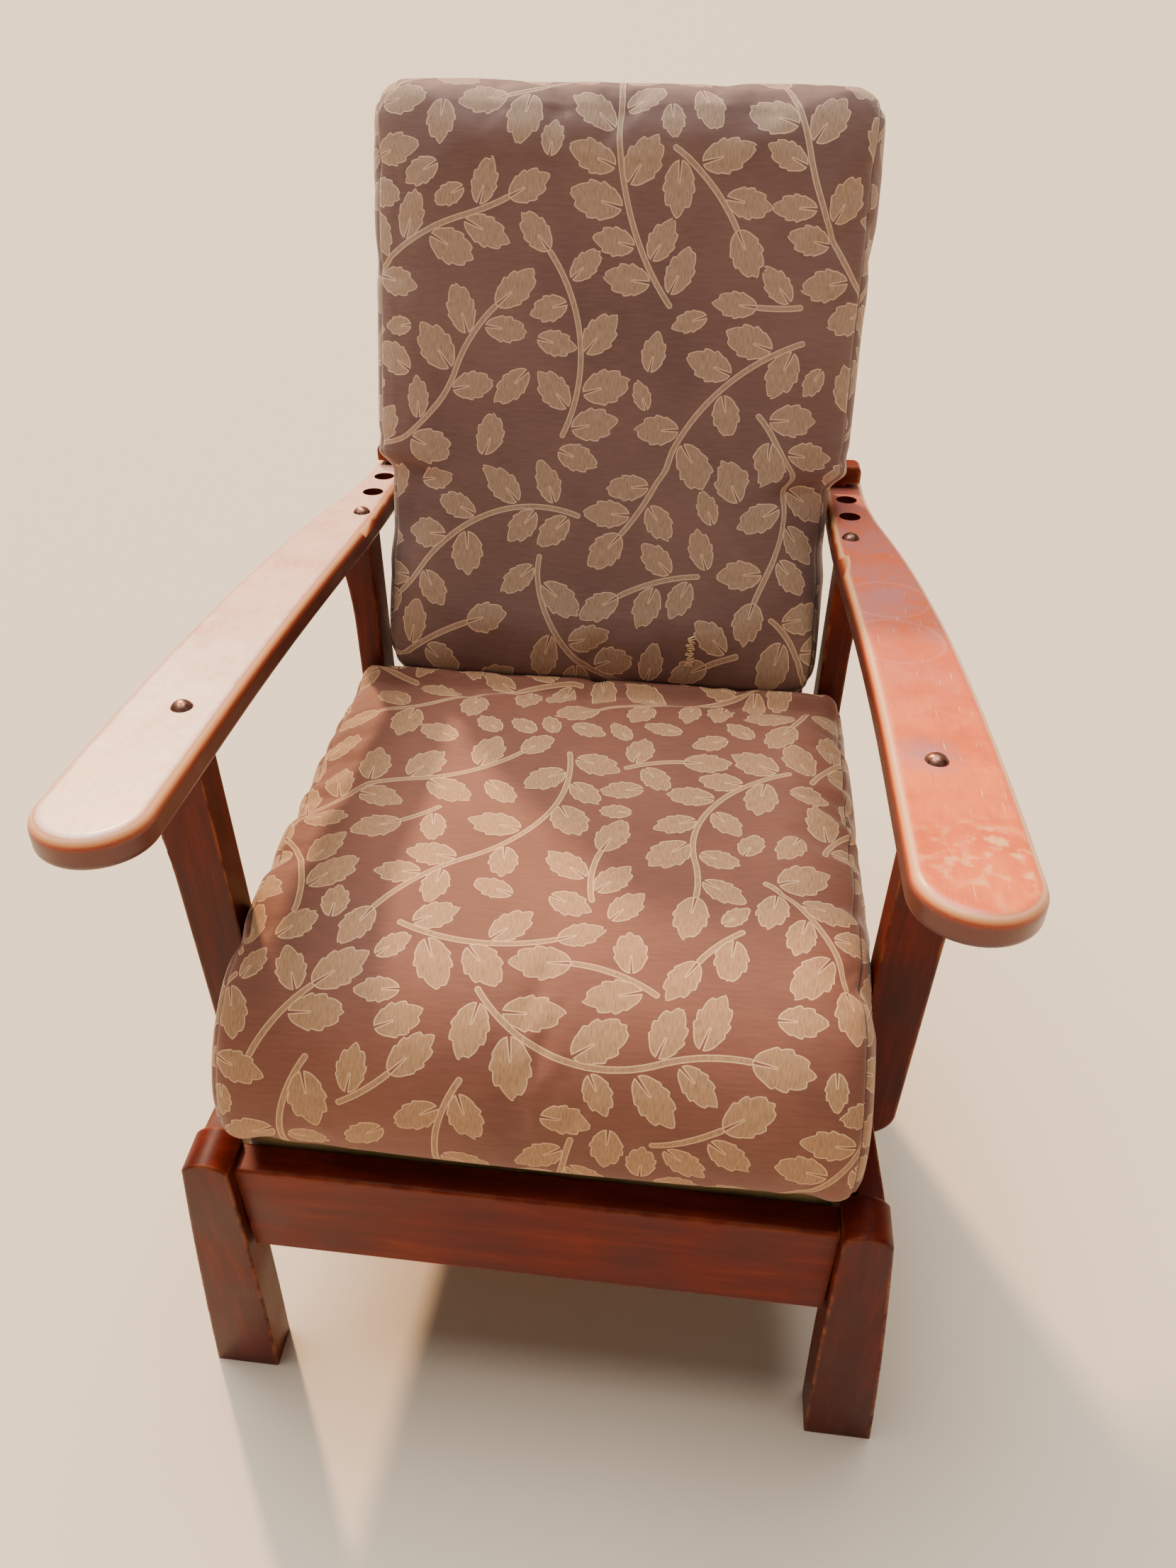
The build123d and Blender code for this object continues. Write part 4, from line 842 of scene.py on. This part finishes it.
SEAT_SIDE = 0.2462
POST_MIDDLE, POST_HALF, POST_ROOM = 0.1505, 0.0165, 0.012
LEG_INSIDE, REAR_AT_LEGS, REAR_BETWEEN = 0.19, 0.5012, 0.511
LOWEST = 0.0004


def seat_fit(rest, fine):
    """Fills out the seat's rear edge, and keeps its sides off the posts and legs."""
    x, y, z = fine.T
    z = z * (1 + 0.19 * smooth(rest[:, 1], 0.28, 0.46) + 0.42 * smooth(rest[:, 1], 0.468, 0.503))
    from_post = np.maximum(0, np.abs(y - POST_MIDDLE) - POST_HALF)
    side = SEAT_SIDE + POST_ROOM * (1 - np.exp(-(from_post / 0.04) ** 2))
    x = np.clip(x, -side, side)
    rear = np.where(np.abs(x) > LEG_INSIDE, REAR_AT_LEGS, REAR_BETWEEN)
    return np.stack([x, np.minimum(y, rear), np.maximum(z, LOWEST)], axis=1)


HINGE = Vector((0, 0.170307, 0.313))
CUSHION_BACK = 0.0265
BACK_SIDE, LEG_ROOM, AHEAD_ROOM, ABOVE_ROOM = 0.2103, 0.0055, 0.017, 0.0165
FOOT_DROP = 0.016


def back_fit(rest, fine):
    """Lowers the back cushion's foot, and lets its sides out in front of the legs and above the arms."""
    x, u, v = fine.T
    height, thickness = rest[:, 1], rest[:, 2]
    u = u - FOOT_DROP * (1 - smooth(height, 0.126, 0.19)) * smooth(thickness, 0.01, 0.05)
    depth = HINGE.y - FRONT_Y + height * math.sin(LEAN) - (thickness + CUSHION_BACK) * math.cos(LEAN)
    under = 1 - smooth(height, 0.225, 0.262)
    ahead = 1 - smooth(depth, 0.484, 0.502)
    above = smooth(height, 0.314, 0.332)
    side = BACK_SIDE + under * (LEG_ROOM + AHEAD_ROOM * ahead) + ABOVE_ROOM * above
    x = x * (1 + under * (0.022 + 0.08 * ahead) + 0.062 * above * (1 - smooth(height, 0.318, 0.352)))
    return np.stack([np.clip(x, -side, side), u, np.maximum(v, LOWEST)], axis=1)


# Half of each cushion's width between its side seams; the back one is wider above the arms
SEAT_CUT, BACK_CUT, BACK_WIDER = 0.2465, 0.2105, 0.014


def seat_half_width(spots):
    return SEAT_CUT


def back_half_width(spots):
    return BACK_CUT + BACK_WIDER * np.clip((spots[:, 1] - 0.318) / 0.034, 0, 1)


BACK_UP = Vector((0, math.sin(LEAN), math.cos(LEAN)))
to_seat = Matrix.Translation((0, -FRONT_Y, -DECK_TOP))
to_back = Matrix.Translation((0, 0, -CUSHION_BACK)) @ Matrix((
    (1, 0, 0, 0),
    (0, math.sin(LEAN), math.cos(LEAN), 0),
    (0, -math.cos(LEAN), math.sin(LEAN), 0),
    (0, 0, 0, 1))) @ Matrix.Translation(-HINGE)

for cushion in (
        {"node": "seat_cushion", "rides": "chair", "cloth": warm_lit_seat_cloth, "turned": False,
         "shape": (to_seat, seat_fit, seat_half_width, 1.0),
         "press": ((0, 0, 1), (0, 0, DECK_TOP), 0.87)},
        {"node": "back_cushion", "rides": "back", "cloth": cool_shaded_back_cloth, "turned": True,
         "shape": (to_back, back_fit, back_half_width, 0.35),
         "press": (tuple(BACK_UP), tuple(HINGE + 0.65 * BACK_UP), 0.96)}):
    body, mesh, rest, wrap, seam = dressed_cushion(
        nodes[cushion["node"]], cushion["node"] + "_cover", *cushion["shape"])
    pattern_attributes(mesh, rest, wrap, seam, cushion["turned"])
    mesh.materials.clear()
    mesh.materials.append(cushion["cloth"])
    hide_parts(cushion["node"])
    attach(body, cushion["rides"])
    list(cushion["press"])
    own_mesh(body)


# Mend in the back cushion, and tacks under the seat deck.
# A slit near the foot of the back cushion was drawn together by hand with pale thread, crosswise and
# unevenly; blued cut tacks hold the olive cotton to the deck's edge every 32 mm.
def set_out_along(name, path, pitch, piece, material, seed=0, wander=0.0):
    """Copies of one small piece at a pitch along a path of (place, outward) pairs, as one plain mesh."""
    line = bpy.data.meshes.new(name + "_path")
    line.from_pydata([p for p, _ in path], [(k, k + 1) for k in range(len(path) - 1)], [])
    outward = line.attributes.new("outward", "FLOAT_VECTOR", "POINT")
    outward.data.foreach_set("vector", [c for _, n in path for c in n])
    tree = bpy.data.node_groups.new(name + "_layout", "GeometryNodeTree")
    tree.interface.new_socket("Path", in_out="INPUT", socket_type="NodeSocketGeometry")
    for label, kind in (("Pitch", "NodeSocketFloat"), ("Wander", "NodeSocketFloat"),
                        ("Seed", "NodeSocketInt"), ("Piece", "NodeSocketObject"),
                        ("Finish", "NodeSocketMaterial")):
        tree.interface.new_socket(label, in_out="INPUT", socket_type=kind)
    tree.interface.new_socket("Set out", in_out="OUTPUT", socket_type="NodeSocketGeometry")
    given = add(tree, "NodeGroupInput").node.outputs
    curve = add(tree, "GeometryNodeMeshToCurve", {"Mesh": given["Path"]})
    spaced = add(tree, "GeometryNodeResampleCurve", {"Curve": curve, "Length": given["Pitch"]}, mode="LENGTH")
    facing = add(tree, "GeometryNodeInputNamedAttribute", {"Name": "outward"}, data_type="FLOAT_VECTOR")
    tangent = add(tree, "GeometryNodeInputTangent")
    turned = add(tree, "FunctionNodeAlignRotationToVector", {"Vector": facing}, axis="Z")
    turned = add(tree, "FunctionNodeAlignRotationToVector", {"Rotation": turned, "Vector": tangent},
                 axis="X", pivot_axis="Z")
    low = add(tree, "Math", {0: given["Wander"], 1: -1.0}, operation="MULTIPLY")
    swing = add(tree, "FunctionNodeRandomValue", {2: low, 3: given["Wander"], "Seed": given["Seed"]})
    spin = add(tree, "CombineXYZ", {"Z": swing})
    turned = add(tree, "FunctionNodeRotateRotation", {"Rotation": turned, "Rotate By": spin},
                 rotation_space="LOCAL")
    shape = add(tree, "GeometryNodeObjectInfo", {"Object": given["Piece"]}, out="Geometry")
    placed = add(tree, "GeometryNodeInstanceOnPoints",
                 {"Points": spaced, "Instance": shape, "Rotation": turned})
    real = add(tree, "GeometryNodeRealizeInstances", {"Geometry": placed})
    coated = add(tree, "GeometryNodeSetMaterial", {"Geometry": real, "Material": given["Finish"]})
    add(tree, "NodeGroupOutput", {"Set out": coated})
    holder = bpy.data.objects.new(name, line)
    bpy.context.scene.collection.objects.link(holder)
    layout = holder.modifiers.new("layout", "NODES")
    layout.node_group = tree
    values = {"Pitch": pitch, "Wander": wander, "Seed": seed, "Piece": piece, "Finish": material}
    for socket in tree.interface.items_tree:
        if socket.name in values:
            layout[socket.identifier] = values[socket.name]
    made = bpy.data.meshes.new_from_object(holder.evaluated_get(bpy.context.evaluated_depsgraph_get()))
    holder.modifiers.clear()
    holder.data = made
    bpy.data.objects.remove(piece)
    made.materials.clear()
    made.materials.append(material)
    made.shade_smooth()
    return holder


def small_piece(name, rings, sides):
    """A turned shape from (radius, height) rings, closed at both ends, standing on the origin."""
    form = bmesh.new()
    turns = [2 * math.pi * k / sides for k in range(sides)]
    loops = [[form.verts.new((r * math.cos(turn), r * math.sin(turn), z)) for turn in turns]
             for r, z in rings]
    for lower, upper in zip(loops, loops[1:]):
        for k in range(sides):
            form.faces.new((lower[k], lower[(k + 1) % sides], upper[(k + 1) % sides], upper[k]))
    form.faces.new(loops[0][::-1])
    form.faces.new(loops[-1])
    mesh = bpy.data.meshes.new(name)
    form.to_mesh(mesh)
    form.free()
    made = bpy.data.objects.new(name, mesh)
    bpy.context.scene.collection.objects.link(made)
    return made


pale_thread, tree = new_material("pale_linen_thread")
shader = add(tree, "BsdfPrincipled", {"Base Color": "#dcbd92", "Roughness": 0.8})
add(tree, "OutputMaterial", {"Surface": shader})
STITCH_LENGTH, STITCH_RADIUS, STITCH_PITCH = 0.0075, 0.0008, 0.0019
MEND_X, MEND_TOP, MEND_STEP = 0.0905, 0.1745, 0.0036
stitch = small_piece("mend_stitch", [
    (STITCH_RADIUS * 0.5, -STITCH_LENGTH / 2), (STITCH_RADIUS, -STITCH_LENGTH * 0.4),
    (STITCH_RADIUS, STITCH_LENGTH * 0.4), (STITCH_RADIUS * 0.5, STITCH_LENGTH / 2)], 6)
lying = Matrix.Rotation(math.radians(90), 4, "X")
stitch.data.transform(Matrix.Translation((0, 0, STITCH_RADIUS * 0.8)) @ lying)
from_back = to_back.inverted()
mend_middle = from_back @ Vector((MEND_X, 0.16, 0.09))
skin = bpy.data.objects["back_cushion_cover"].data
back_skin = BVHTree.FromPolygons([v.co for v in skin.vertices], [
    p.vertices for p in skin.polygons if (p.center - mend_middle).length < 0.06])
mend_path = []
for k in range(9):
    ahead = from_back @ Vector((MEND_X + 0.0012 * math.sin(2.2 * k), MEND_TOP - MEND_STEP * k, 0.20))
    place, skin_normal, _, _ = back_skin.ray_cast(ahead, from_back.to_3x3() @ Vector((0, 0, -1)))
    mend_path.append((tuple(place), tuple(skin_normal)))
mend = set_out_along("back_cushion_mend", mend_path, STITCH_PITCH, stitch, pale_thread, seed=7, wander=0.4)
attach(mend, "back")

blued_iron = worn_metal("blued_iron", "#1f2024", "#3d3c3c", 0.4, 600.0)
TACK_RADIUS, TACK_RISE, TACK_PITCH = 0.0032, 0.0007, 0.032
TACK_HEIGHT = DECK_TOP - 0.027
TACK_BITE = 0.0002
tack = small_piece("deck_tack", [
    (TACK_RADIUS, 0.0), (TACK_RADIUS * 0.9, TACK_RISE * 0.6), (TACK_RADIUS * 0.4, TACK_RISE)], 8)
half_at = {edge: max(abs(v.co.x) for v in nodes["deck_cover"].data.vertices
                     if abs(v.co.y - FRONT_Y - edge) < 0.008) for edge in (DECK_FRONT, DECK_REAR)}


def side_row(side):
    """The first and last tack place on one side of the deck, which narrows to the rear."""
    row = []
    for share in (0.04, 0.96):
        half = half_at[DECK_FRONT] + share * (half_at[DECK_REAR] - half_at[DECK_FRONT]) - TACK_BITE
        row.append((side * half, FRONT_Y + DECK_FRONT + share * (DECK_REAR - DECK_FRONT), TACK_HEIGHT))
    return row


rear_row = [(x, FRONT_Y + DECK_REAR - TACK_BITE, TACK_HEIGHT) for x in (-0.19, 0.19)]
for label, row, facing in (("right", side_row(1), (1, 0, 0)), ("left", side_row(-1), (-1, 0, 0)),
                           ("rear", rear_row, (0, 1, 0))):
    tack_copy = tack.copy()
    bpy.context.scene.collection.objects.link(tack_copy)
    tacks = set_out_along("deck_tacks_" + label, [(place, facing) for place in row], TACK_PITCH, tack_copy,
                          blued_iron)
    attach(tacks, "chair")
bpy.data.objects.remove(tack)


# Floor, lamps and camera.
# A plain pale floor under wide soft light from above and a warm lower lamp behind the left arm,
# seen from standing height in front of the chair.
bpy.ops.mesh.primitive_plane_add(size=70)
floor = bpy.context.object
floor.name = "floor"
floor_material, tree = new_material("pale_plain_floor")
shader = add(tree, "BsdfPrincipled", {"Base Color": "#dfd3bf", "Roughness": 0.9})
add(tree, "OutputMaterial", {"Surface": shader})
floor.data.materials.append(floor_material)

world = bpy.data.worlds.new("soft_room")
bpy.context.scene.world = world
world.use_nodes = True
room = world.node_tree.nodes["Background"].inputs
room["Color"].default_value = linear("#f2e9e0")
room["Strength"].default_value = 0.2


def far_lamp(name, place, aim, colour, strength, spread):
    """A lamp far off in the direction of place; its spread in degrees softens the shadows."""
    data = bpy.data.lights.new(name, "SUN")
    data.energy = strength
    data.color = linear(colour)[:3]
    data.angle = math.radians(spread)
    made = bpy.data.objects.new(name, data)
    bpy.context.scene.collection.objects.link(made)
    made.location = place
    made.rotation_euler = (Vector(aim) - Vector(place)).to_track_quat("-Z", "Y").to_euler()


far_lamp("soft_overhead", (-0.9, 1.4, 5.0), (0, 0.3, 0.4), "#fff6ee", 5.0, 50)
far_lamp("warm_window", (-1.14, 2.04, 2.39), (0, 0, 0.5), "#ffcf9e", 5.2, 4)

EYE = Vector((0.0924, -0.8655, 1.1436))
YAW, PITCH, ROLL = 0.125, 0.687, -0.005
FOCAL = 27.68
SHIFT = (0.0143, -0.0024)
camera_data = bpy.data.cameras.new("camera")
camera_data.sensor_fit = "AUTO"
camera_data.sensor_width = 36
camera_data.lens = FOCAL
camera_data.shift_x, camera_data.shift_y = SHIFT
camera_data.clip_start = 0.05
camera = bpy.data.objects.new("camera", camera_data)
bpy.context.scene.collection.objects.link(camera)
ahead = Vector((-math.sin(YAW) * math.cos(PITCH), math.cos(YAW) * math.cos(PITCH), -math.sin(PITCH)))
right = ahead.cross(Vector((0, 0, 1))).normalized()
up = right.cross(ahead)
right, up = (math.cos(ROLL) * right + math.sin(ROLL) * up, math.cos(ROLL) * up - math.sin(ROLL) * right)
camera.matrix_world = Matrix((
    (right.x, up.x, -ahead.x, EYE.x),
    (right.y, up.y, -ahead.y, EYE.y),
    (right.z, up.z, -ahead.z, EYE.z),
    (0, 0, 0, 1)))
bpy.context.scene.camera = camera
